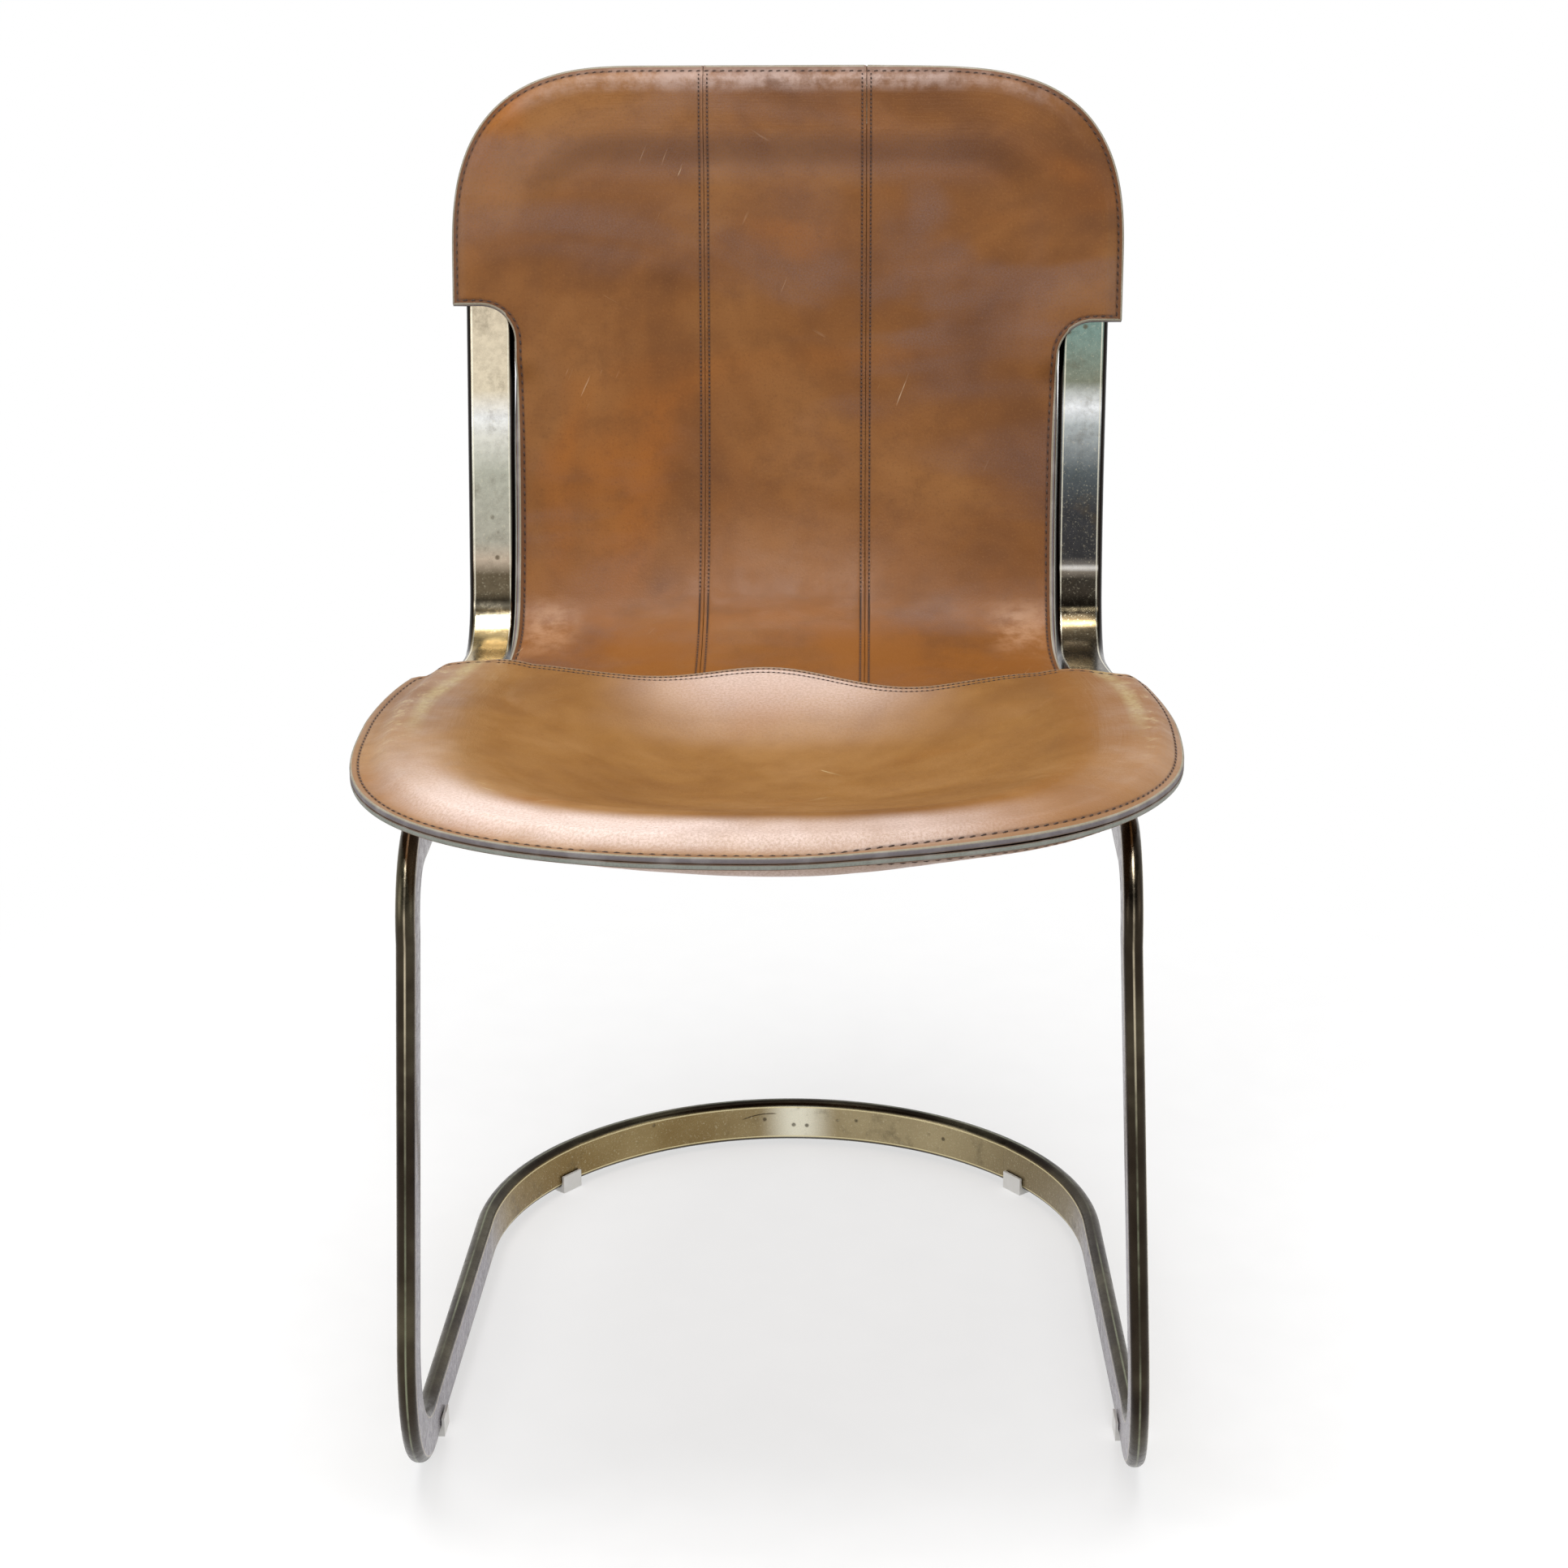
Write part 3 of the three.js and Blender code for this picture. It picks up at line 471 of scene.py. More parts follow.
def back_side(side):
    """Edge of the back leather on one side, from the strip's lower end to the middle of the top."""
    drop = EAR_DROPS[side]
    turn = np.linspace(0, math.pi / 2, 24)
    fillet = np.stack([STRIP_HALF + EAR_FILLET_RADIUS * (1 - np.cos(turn)),
                       STRIP_TOP_RUN - drop + EAR_FILLET_RADIUS * np.sin(turn)], -1)
    ear = np.array([[BACK_LEATHER_HALF, EAR_BOTTOM_RUN - drop]])
    share = np.linspace(0, math.pi / 2, 120)
    power = 2 / BACK_ROUND_POWER
    corner = np.stack([BACK_LEATHER_HALF - BACK_LEATHER_CORNER * (1 - np.cos(share) ** power),
                       BACK_LEATHER_TOP_RUN - BACK_LEATHER_CORNER * (1 - np.sin(share) ** power)], -1)
    full_drop_at = BACK_LEATHER_HALF - BACK_LEATHER_CORNER / 2
    corner[:, 1] -= TOP_DROPS[side] * eased(corner[:, 0], SEAM_HALF, full_drop_at)
    start = np.array([[STRIP_HALF, STRIP_END_RUN]])
    return np.concatenate([start, fillet, ear, corner]) * [side, 1]


def back_outline():
    return closed_outline(np.concatenate([back_side(1), back_side(-1)[::-1]]))


def side_panel_outline(side):
    inner = SEAM_HALF + SEAM_GAP / 2
    seam = np.array([[inner, BACK_LEATHER_TOP_RUN], [inner, STRIP_END_RUN]])
    return closed_outline(np.concatenate([back_side(side), seam * [side, 1]]))


def centre_panel_outline():
    half = SEAM_HALF - SEAM_GAP / 2
    return closed_outline(np.array([[half, STRIP_END_RUN], [half, BACK_LEATHER_TOP_RUN],
                                    [-half, BACK_LEATHER_TOP_RUN], [-half, STRIP_END_RUN]]))


def seam_row(across):
    inner = BACK_LEATHER_TOP_RUN - BACK_ROW_INSET
    return resampled(np.array([[across, STRIP_END_RUN + BACK_ROW_INSET], [across, inner]]), EDGE_STEP)


# Leather pieces
class Hide:
    """One piece of leather: cut on the flat pattern, pressed along its rows and grooves, and folded."""

    def __init__(self, outline, rows, grooves, rise, layer, back, raw_outline=None):
        self.outline = outline
        self.raw_outline = outline if raw_outline is None else raw_outline
        self.rows = rows
        self.grooves = grooves
        self.rise = rise
        self.layer = layer
        self.back = back
        self.at_seam = (np.abs(np.abs(outline[:, 0]) - SEAM_HALF) < SEAM_GAP) & bool(grooves)
        under = (inward(outline)[:, 1] > 0.7) & back
        self.rounding = np.where(under, EAR_EDGE_RADIUS, LEATHER_EDGE_RADIUS)
        self.rounding[self.at_seam] = SEAM_EDGE_RADIUS

    def press(self, spots):
        result = np.zeros(len(spots))
        for lines, depth, half in ((self.rows, ROW_PRESS, ROW_PRESS_HALF),
                                   (self.grooves, GROOVE_PRESS, GROOVE_PRESS_HALF)):
            if lines:
                nearest = np.min([distance_to(line, spots, closed) for line, closed in lines], axis=0)
                result = np.maximum(result, depth * np.exp(-(nearest / half) ** 2))
        return result

    def placed(self, spots, lift):
        """Points over the pattern's spots, a lift away from the middle of the leather, out of the sling."""
        across, run = spots[:, 0], spots[:, 1]
        if not self.back:
            return on_sling(across, run, self.rise(across, run, self.layer) + self.layer * lift)
        near_edge = eased(distance_to(self.raw_outline, spots, True), 0, SKIVED_REACH)
        in_strip = 1 - eased(run, STRIP_TOP_RUN - EAR_OPENING, STRIP_TOP_RUN)
        thin = lerp(1, lerp(BACK_SKIVED_SHARE, 1, near_edge), in_strip)
        curl, tilt = strip_curl(across, run)
        across = across + strip_flare(across, run) + leaning(across, run)
        middle = sling_middle(across, run)
        lift = (lift + LEATHER / 2) * thin - LEATHER / 2
        off = self.rise(across, run, self.layer) - middle + self.layer * lift
        return on_sling(across - np.sign(across) * np.sin(tilt) * off, run,
                        middle + curl + np.cos(tilt) * off)

    def outside(self, spots):
        return self.placed(spots, LEATHER / 2 - self.press(spots))


def pattern_spots(hide):
    """Points to fill the pattern with: dense along the edge and the stitch rows, then an even lattice."""
    outline = hide.outline
    bands = [offset_line(outline, LEATHER_EDGE_RADIUS + step) for step in EDGE_BANDS]
    beside = [(row, ROW_BANDS) for row, _ in hide.rows] + [(row, GROOVE_BANDS) for row, _ in hide.grooves]
    for row, shifts in beside:
        way = np.gradient(row, axis=0)
        side = turned_left(way) / np.maximum(np.linalg.norm(way, axis=1), 1e-9)[:, None]
        bands += [row + side * shift for shift in shifts]
    spots = np.concatenate(bands)
    low, high = outline.min(0), outline.max(0)
    lattice = []
    for index, run in enumerate(np.arange(low[1], high[1], CELL * math.sqrt(3) / 2)):
        across = np.arange(low[0] + CELL / 2 * (index % 2), high[0], CELL)
        lattice.append(np.stack([across, np.full(len(across), run)], -1))
    lattice = np.concatenate(lattice)
    clear = distance_to(outline, lattice, True) > CELL + BAND_ROOM
    for row, closed in [*hide.rows, *hide.grooves]:
        clear &= distance_to(row, lattice, closed) > CELL * 0.7 + BAND_ROOM
    lattice = lattice[clear & inside_outline(outline, lattice)]
    spots = spots[inside_outline(outline, spots)]
    near = nearest_on(outline, spots)
    spots = spots[distance_to(outline, spots, True) > hide.rounding[near] + RIM_ROOM]
    return np.concatenate([spots, lattice])


def inside_outline(outline, spots):
    """True for each spot that the outline goes round."""
    result = np.zeros(len(spots), bool)
    after = np.roll(outline, -1, axis=0)
    for (x0, y0), (x1, y1) in zip(outline, after):
        if y0 != y1:
            crosses = (spots[:, 1] >= min(y0, y1)) & (spots[:, 1] < max(y0, y1))
            result ^= crosses & (spots[:, 0] < x0 + (spots[:, 1] - y0) / (y1 - y0) * (x1 - x0))
    return result


def edge_profile(rounding):
    """Insets and lifts of the rows that round the leather's edge, from the outside to the inside."""
    turns = np.linspace(0, math.pi / 2, EDGE_CORNER_STEPS)
    outer = [(rounding * (1 - math.sin(turn)), LEATHER / 2 - rounding * (1 - math.cos(turn)))
             for turn in turns]
    radius = np.full(len(rounding), INNER_EDGE_RADIUS)
    inner = [(radius * (1 - math.sin(turn)), radius * (1 - math.cos(turn)) - LEATHER / 2)
             for turn in turns]
    return outer + inner[::-1]


def make_piece(name, points, faces):
    """A mesh object with smooth faces, from arrays of points and the faces between them."""
    mesh = bpy.data.meshes.new(name)
    mesh.from_pydata(np.concatenate(points).tolist(), [], faces)
    mesh.polygons.foreach_set("use_smooth", np.ones(len(mesh.polygons), bool))
    piece = bpy.data.objects.new(name, mesh)
    bpy.context.scene.collection.objects.link(piece)
    return piece


def write_values(mesh, values):
    """Numbers of a mesh's points, one attribute for each label."""
    for label, numbers in values.items():
        attribute = mesh.attributes.new(label, "FLOAT", "POINT")
        attribute.data.foreach_set("value", numbers.astype(np.float32))


def cut_hide(name, hide, finishes):
    """Mesh of one leather piece, both faces and the cut edge, with its flat size and area."""
    ways = inward(hide.outline)
    rim = hide.outline + ways * hide.rounding[:, None]
    fill = pattern_spots(hide)
    spots_in = [Vector(spot) for spot in np.concatenate([rim, fill])]
    ring = [(index, (index + 1) % len(rim)) for index in range(len(rim))]
    made, _, faces, origins, _, _ = delaunay_2d_cdt(spots_in, ring, [], 1, 1e-7)
    spots = np.array([tuple(spot) for spot in made])
    rim_index = np.zeros(len(rim), int)
    for index, sources in enumerate(origins):
        for source in sources:
            if source < len(rim):
                rim_index[source] = index
    count = len(spots)
    rows = []
    points = [hide.outside(spots), hide.placed(spots, -LEATHER / 2)]
    pattern = [spots, spots]
    lifts = [np.ones(count), -np.ones(count)]
    for inset, lift in edge_profile(hide.rounding)[1:-1]:
        line = hide.outline + ways * inset[:, None]
        points.append(hide.placed(line, lift))
        pattern.append(line)
        lifts.append(lift / (LEATHER / 2))
        rows.append(2 * count + len(rows) * len(rim) + np.arange(len(rim)))
    rows = [rim_index, *rows, rim_index + count]
    polygons = []
    for face in faces:
        polygons += [face, [index + count for index in reversed(face)]]
    for upper, lower in zip(rows[:-1], rows[1:]):
        polygons += [(upper[here], lower[here], lower[there], upper[there]) for here, there in ring]
    if hide.layer < 0:
        polygons = [face[::-1] for face in polygons]
    piece = make_piece(name, points, [tuple(map(int, face)) for face in polygons])
    dress(piece.data, hide, np.concatenate(pattern), np.concatenate(lifts), finishes)
    return piece, hide.outline.max(0) - hide.outline.min(0), area_in(hide.outline)


def dress(mesh, hide, pattern, lifts, finishes):
    """UV map, distances and finishes of a leather mesh: the faces, then the cut edge round the outline."""
    corners = np.empty(len(mesh.loops), int)
    mesh.loops.foreach_get("vertex_index", corners)
    layer = mesh.uv_layers.new(name="pattern")
    layer.data.foreach_set("uv", pattern[corners].astype(np.float32).ravel())
    values = {"cut_edge": distance_to(hide.raw_outline, pattern, True),
              "from_bar": loop_distance(pattern[:, 0], pattern[:, 1]),
              "through": lifts}
    if hide.rows:
        values["sewn"] = np.min([distance_to(row, pattern, closed) for row, closed in hide.rows], axis=0)
    write_values(mesh, values)
    for finish in finishes:
        mesh.materials.append(finish)
    raw = np.tile(np.where(hide.at_seam, 0, 1), EDGE_ROWS)
    cut = np.concatenate([np.zeros(len(mesh.polygons) - len(raw), int), raw]).astype(np.int32)
    mesh.polygons.foreach_set("material_index", cut)
    mesh.validate()
    mesh.update()


# Stitches
def stitch_shape(length):
    """Points and faces of one stitch that arches between its two holes, along X."""
    rings = []
    turns = 2 * math.pi * np.arange(THREAD_SIDES) / THREAD_SIDES
    for share, height, width in STITCH_RINGS:
        rings.append(np.stack([np.full(THREAD_SIDES, share * length / 2), width * THREAD_RADIUS * np.cos(turns),
                               THREAD_RADIUS * (height + width * np.sin(turns))], -1))
    stitch = extruded_bar("stitch", np.array(rings), False)
    points = np.array([tuple(vert.co) for vert in stitch.data.vertices])
    faces = [tuple(face.vertices) for face in stitch.data.polygons]
    bpy.data.objects.remove(stitch)
    return points, faces


def sewn_rows(name, hide, seams, finish):
    """One mesh of the stitches of some rows on a hide. A row is a line, whether it is closed, and a pitch."""
    all_points, all_faces = [], []
    total = 0
    for line, closed, pitch in seams:
        path = np.concatenate([line, line[:1]]) if closed else line
        path = resampled(path, pitch / 2)
        middles = path[1:-1:2]
        ways = unit(path[2::2][:len(middles)] - path[0:-2:2][:len(middles)])
        turn = THREAD_SLANT * hide.layer
        ways = np.stack([ways[:, 0] * math.cos(turn) - ways[:, 1] * math.sin(turn),
                         ways[:, 0] * math.sin(turn) + ways[:, 1] * math.cos(turn)], -1)
        side = turned_left(ways)
        reach = pitch * STITCH_REACH
        centre = hide.outside(middles)
        along = unit(hide.outside(middles + ways * reach) - hide.outside(middles - ways * reach))
        beside = hide.outside(middles + side * reach) - hide.outside(middles - side * reach)
        up = unit(np.cross(along, beside) * hide.layer)
        beside = np.cross(up, along)
        shape, faces = stitch_shape(pitch * STITCH_SHARE)
        points = (centre[:, None] + shape[None, :, 0:1] * along[:, None]
                  + shape[None, :, 1:2] * beside[:, None] + shape[None, :, 2:3] * up[:, None])
        for index in range(len(middles)):
            base = total + index * len(shape)
            all_faces += [tuple(base + corner for corner in face) for face in faces]
        total += len(middles) * len(shape)
        all_points.append(points.reshape(-1, 3))
    piece = make_piece(name, all_points, all_faces)
    piece.data.materials.append(finish)
    piece.data.update()
    return piece


# Bars
def deselect():
    bpy.ops.object.select_all(action="DESELECT")


def bar_section():
    """Points round the flat oval: place across, place through, and how far round the narrow edge."""
    flat = BAR_HALF - BAR_EDGE_REACH
    half = BAR_THICKNESS / 2
    turns = np.linspace(-math.pi / 2, math.pi / 2, BAR_EDGE_STEPS + 1)
    right = [(flat + BAR_EDGE_REACH * math.cos(turn), half * math.sin(turn), math.cos(turn))
             for turn in turns]
    left = [(-across, -through, rim) for across, through, rim in right]
    return right + [(0, half, 0)] + left + [(0, -half, 0)]


def bend_spot(centre, radius, heading):
    return centre + radius * np.array([math.sin(heading), -math.cos(heading)])


def upper_rail_height(depth):
    origin, _, out = sling_frame(0.0)
    start = origin - out * RAIL_DROP
    return start[1] - (depth + FRONT_DEPTH - start[0]) * math.tan(SEAT_SLOPE)


def leg_line():
    """Heading of the leg, and its ends at the foot bend and at the upper bend."""
    heading = math.pi * 3 / 2 - LEG_LEAN
    foot_centre = np.array([FOOT_BEND_RADIUS, FLOOR_BAR_HEIGHT + FOOT_BEND_RADIUS])
    bottom = bend_spot(foot_centre, FOOT_BEND_RADIUS, heading)
    reach = (bend_spot(np.zeros(2), UPPER_BEND_RADIUS, math.pi - SEAT_SLOPE)
             - bend_spot(np.zeros(2), UPPER_BEND_RADIUS, heading))
    short = upper_rail_height(bottom[0] + reach[0]) - bottom[1] - reach[1]
    length = short / (math.cos(LEG_LEAN) + math.sin(LEG_LEAN) * math.tan(SEAT_SLOPE))
    top = bottom + length * np.array([math.sin(LEG_LEAN), math.cos(LEG_LEAN)])
    return heading, bottom, top


def base_half():
    """Right half of the base as points and ways across the bar, from the upper rail's end to the hoop."""
    heading, _, top = leg_line()
    rail_heading = math.pi - SEAT_SLOPE
    upper_centre = top - bend_spot(np.zeros(2), UPPER_BEND_RADIUS, heading)
    foot_centre = np.array([FOOT_BEND_RADIUS, FLOOR_BAR_HEIGHT + FOOT_BEND_RADIUS])
    profile = [(np.array([UPPER_RAIL_REACH, upper_rail_height(UPPER_RAIL_REACH)]), rail_heading)]
    for centre, radius, start, end in ((upper_centre, UPPER_BEND_RADIUS, rail_heading, heading),
                                       (foot_centre, FOOT_BEND_RADIUS, heading, 2 * math.pi)):
        steps = max(int(abs(end - start) * radius / BAR_STATION_STEP), 12)
        profile += [(bend_spot(centre, radius, turn), turn) for turn in np.linspace(start, end, steps)]
    points, ways = [], []
    for (depth, height), turn in profile:
        share = min(max((height - FLOOR_BAR_HEIGHT) / (top[1] - FLOOR_BAR_HEIGHT), 0), 1)
        points.append((lerp(LEG_SPACING_FOOT, LEG_SPACING_SEAT, share) / 2, depth + FRONT_DEPTH, height))
        ways.append((0, -math.sin(turn), math.cos(turn)))
    hoop = hoop_points()
    points += hoop
    ways += [(0, 0, 1)] * len(hoop)
    return np.array(points), np.array(ways)


def hoop_points():
    start = math.atan2((LEG_SPACING_FOOT - RAIL_SPACING_REAR) / 2, FLOOR_RAIL_REACH - FOOT_BEND_RADIUS)
    knee = start + HOOP_SIDE_TURN
    side_half = RAIL_SPACING_REAR / 2 - HOOP_SIDE_RADIUS * math.cos(start)
    side_depth = FLOOR_RAIL_REACH - HOOP_SIDE_RADIUS * math.sin(start)
    knee_half = side_half + HOOP_SIDE_RADIUS * math.cos(knee)
    knee_depth = side_depth + HOOP_SIDE_RADIUS * math.sin(knee)
    rear_radius = knee_half / math.cos(knee)
    rear_depth = knee_depth - rear_radius * math.sin(knee)
    arcs = [(side_half, side_depth, HOOP_SIDE_RADIUS, start, knee),
            (0, rear_depth, rear_radius, knee, math.pi / 2)]
    points = []
    for half, depth, radius, first, last in arcs:
        steps = int((last - first) * radius / BAR_STATION_STEP)
        points += [(half + radius * math.cos(turn), FRONT_DEPTH + depth + radius * math.sin(turn),
                    FLOOR_BAR_HEIGHT) for turn in np.linspace(first, last, steps)]
    return points


def mirrored(points, ways):
    """A half line followed by its mirror image, with the middle point kept once."""
    flip = np.array([-1, 1, 1])
    return (np.concatenate([points, points[:-1][::-1] * flip]),
            np.concatenate([ways, ways[:-1][::-1] * flip]))


def loop_line():
    """The closed loop as points, ways across the bar, which point out of the loop, and runs."""
    turn = np.linspace(0, math.pi / 2, 300)
    power = 2 / SEAT_ROUND_POWER
    depth = SEAT_WIDEST_RUN - BAR_HALF
    front = np.stack([SEAT_LOOP_HALF * np.sin(turn) ** power,
                      SEAT_WIDEST_RUN - depth * np.cos(turn) ** power], -1)
    runs = np.linspace(SEAT_WIDEST_RUN, LOOP_TOP_RUN - BAR_HALF - BACK_CORNER_RADIUS, 300)[1:]
    side = np.stack([loop_half(runs), runs], -1)
    corner = np.stack([BACK_LOOP_HALF - BACK_CORNER_RADIUS * (1 - np.cos(turn)),
                       runs[-1] + BACK_CORNER_RADIUS * np.sin(turn)], -1)[1:]
    right = np.concatenate([front, side, corner, [[0, LOOP_TOP_RUN - BAR_HALF]]])
    whole = resampled(np.concatenate([right, right[::-1][1:] * [-1, 1]]), BAR_STATION_STEP)[:-1]
    way = unit(np.roll(whole, -1, axis=0) - np.roll(whole, 1, axis=0))
    across, run = whole[:, 0], whole[:, 1]
    _, along, _ = sling_frame(run)
    broad = np.concatenate([way[:, 1:2], -way[:, :1] * along], -1)
    return on_sling(across, run, front_lift(across, run)), broad, run


def rings_of(points, ways, closed, scales):
    """Flat-oval ring of the bar at each station."""
    if closed:
        back, ahead = points - np.roll(points, 1, axis=0), np.roll(points, -1, axis=0) - points
    else:
        steps = np.diff(points, axis=0)
        back, ahead = np.concatenate([steps[:1], steps]), np.concatenate([steps, steps[-1:]])
    tangents = unit(unit(back) + unit(ahead))
    through = unit(np.cross(tangents, ways))
    broad = np.cross(through, tangents)
    section = np.array(bar_section())
    return (points[:, None] + section[None, :, 0:1] * broad[:, None] * scales[:, None, None]
            + section[None, :, 1:2] * through[:, None] * scales[:, None, None])


def select_ring(piece, numbers):
    work = bmesh.from_edit_mesh(piece.data)
    station = work.verts.layers.int["station"]
    for vert in work.verts:
        vert.select_set(vert[station] in numbers)
    work.select_flush(True)
    bmesh.update_edit_mesh(piece.data)


def extruded_bar(name, rings, closed):
    """A bar that starts as a circle, takes the flat oval's shape and is extruded from station to station."""
    deselect()
    sides = rings.shape[1]
    bpy.ops.mesh.primitive_circle_add(vertices=sides, radius=BAR_HALF)
    piece = bpy.context.object
    piece.name = piece.data.name = name
    bpy.ops.object.mode_set(mode="EDIT")
    work = bmesh.from_edit_mesh(piece.data)
    spot = work.verts.layers.int.new("spot")
    station = work.verts.layers.int.new("station")
    for index, vert in enumerate(work.verts):
        vert[spot] = index
        vert.co = rings[0][index]
    for number, ring in enumerate(rings[1:], start=1):
        bpy.ops.mesh.extrude_region()
        work = bmesh.from_edit_mesh(piece.data)
        spot = work.verts.layers.int["spot"]
        station = work.verts.layers.int["station"]
        for vert in work.verts:
            if vert.select:
                vert.co = ring[vert[spot]]
                vert[station] = number
    last = len(rings) - 1
    bpy.ops.mesh.select_mode(type="VERT")
    if closed:
        select_ring(piece, {0, last})
        bpy.ops.mesh.bridge_edge_loops()
    else:
        for number in (0, last):
            select_ring(piece, {number})
            bpy.ops.mesh.edge_face_add()
    bpy.ops.mesh.select_all(action="SELECT")
    bpy.ops.mesh.normals_make_consistent(inside=False)
    bpy.ops.object.mode_set(mode="OBJECT")
    bpy.ops.object.shade_smooth_by_angle(angle=math.radians(40))
    return piece


def mark_bar(piece, alongs):
    """Writes how far round the narrow edge, to the outer face and along the bar each point lies."""
    section = np.array(bar_section())
    rims, outers = section[:, 2], section[:, 1] / (BAR_THICKNESS / 2)
    count = len(piece.data.vertices)
    spots, stations = np.empty(count, np.int32), np.empty(count, np.int32)
    piece.data.attributes["spot"].data.foreach_get("value", spots)
    piece.data.attributes["station"].data.foreach_get("value", stations)
    write_values(piece.data, {"rim": rims[spots], "outer": outers[spots], "along": alongs[stations]})
    for label in ("spot", "station"):
        piece.data.attributes.remove(piece.data.attributes[label])


def make_base_bar(finish):
    points, ways = mirrored(*base_half())
    start = points[0] + unit(points[:1] - points[1:2])[0] * BAR_END_BEVEL
    points = np.concatenate([[start], points, [start * [-1, 1, 1]]])
    ways = np.concatenate([ways[:1], ways, ways[-1:]])
    scales = np.ones(len(points))
    scales[[0, -1]] = 1 - BAR_END_BEVEL / (BAR_THICKNESS / 2)
    piece = extruded_bar("base_bar", rings_of(points, ways, False, scales), False)
    lengths = lengths_along(points)
    mark_bar(piece, np.abs(lengths - lengths[-1] / 2))
    piece.data.materials.append(finish)
    return piece


def cut_bolt_recesses(base):
    """Round recesses for the bolt heads in the undersides of the upper rails."""
    for name in ("front_left", "front_right", "rear_left", "rear_right"):
        low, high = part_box("seat_bolt_" + name)
        deselect()
        middle = (low + high) / 2
        bpy.ops.mesh.primitive_cylinder_add(
            vertices=32, radius=BOLT_RECESS_RADIUS, depth=BOLT_RECESS_LENGTH,
            rotation=(-SEAT_SLOPE, 0, 0), location=(middle.x, middle.y, low.z))
        cutter = bpy.context.object
        deselect()
        base.select_set(True)
        bpy.context.view_layer.objects.active = base
        recess = base.modifiers.new("recess", "BOOLEAN")
        recess.operation = "DIFFERENCE"
        recess.object = cutter
        bpy.ops.object.modifier_apply(modifier="recess")
        bpy.data.objects.remove(cutter)


def make_loop_bar(finish):
    points, ways, runs = loop_line()
    points = points + np.stack([leaning(points[:, 0], runs), *[np.zeros(len(points))] * 2], -1)
    piece = extruded_bar("sling_loop_bar", rings_of(points, ways, True, np.ones(len(points))), True)
    mark_bar(piece, runs)
    piece.data.materials.append(finish)
    return piece


# Finishes
def shade(red, green, blue):
    """A colour given in 0 to 255 display values, as a shader colour."""
    parts = [value / 255 for value in (red, green, blue)]
    return (*[part / 12.92 if part <= 0.04045 else ((part + 0.055) / 1.055) ** 2.4 for part in parts], 1)


def toned(what):
    """A number as a grey, three display values as a shader colour, and anything else as it is."""
    if isinstance(what, (int, float)):
        return what, what, what, 1
    return shade(*what) if isinstance(what, tuple) and len(what) == 3 else what


class Nodes:
    """A node tree being built, with short ways to add nodes and join them."""

    def __init__(self, tree):
        self.tree = tree

    def put(self, socket, value):
        """Links an output to a socket, or sets the socket's own value."""
        if isinstance(value, bpy.types.NodeSocket):
            self.tree.links.new(value, socket)
        else:
            socket.default_value = value

    def node(self, kind, sockets=None, **settings):
        node = self.tree.nodes.new(kind)
        for key, value in settings.items():
            setattr(node, key, value)
        for key, value in (sockets or {}).items():
            self.put(node.inputs[key], value)
        return node

    def part(self, coordinates, axis):
        return self.node("ShaderNodeSeparateXYZ", {0: coordinates}).outputs[axis]

    def math(self, operation, first, second=0.0):
        return self.node("ShaderNodeMath", {0: first, 1: second}, operation=operation).outputs[0]

    def product(self, first, *others):
        for other in others:
            first = self.math("MULTIPLY", first, other)
        return first

    def fade(self, value, low, high, start=0.0, end=1.0, curve="SMOOTHSTEP"):
        """A number that goes from start to end while a value goes from low to high."""
        return self.node("ShaderNodeMapRange", {"Value": value, "From Min": low, "From Max": high, "To Min": start,
                                                "To Max": end}, interpolation_type=curve).outputs[0]

    def near(self, value, middle, far, close, start=0.0, end=1.0):
        """Like fade, over a value's distance from a middle."""
        apart = self.math("ABSOLUTE", self.math("ADD", value, -middle))
        return self.fade(apart, far, close, start, end)

    def ramp(self, value, *stops):
        """A smooth change of number or colour over a value, given as places and what they get."""
        node = self.node("ShaderNodeValToRGB", {0: value})
        elements = node.color_ramp.elements
        while len(elements) < len(stops):
            elements.new(1)
        for element, (place, what) in zip(elements, stops):
            element.position = place
            element.color = toned(what)
        return node.outputs[0]

    def mix(self, share, first, second):
        return self.node("ShaderNodeMix", {"Factor": share, 6: toned(first), 7: toned(second)},
                         data_type="RGBA").outputs[2]


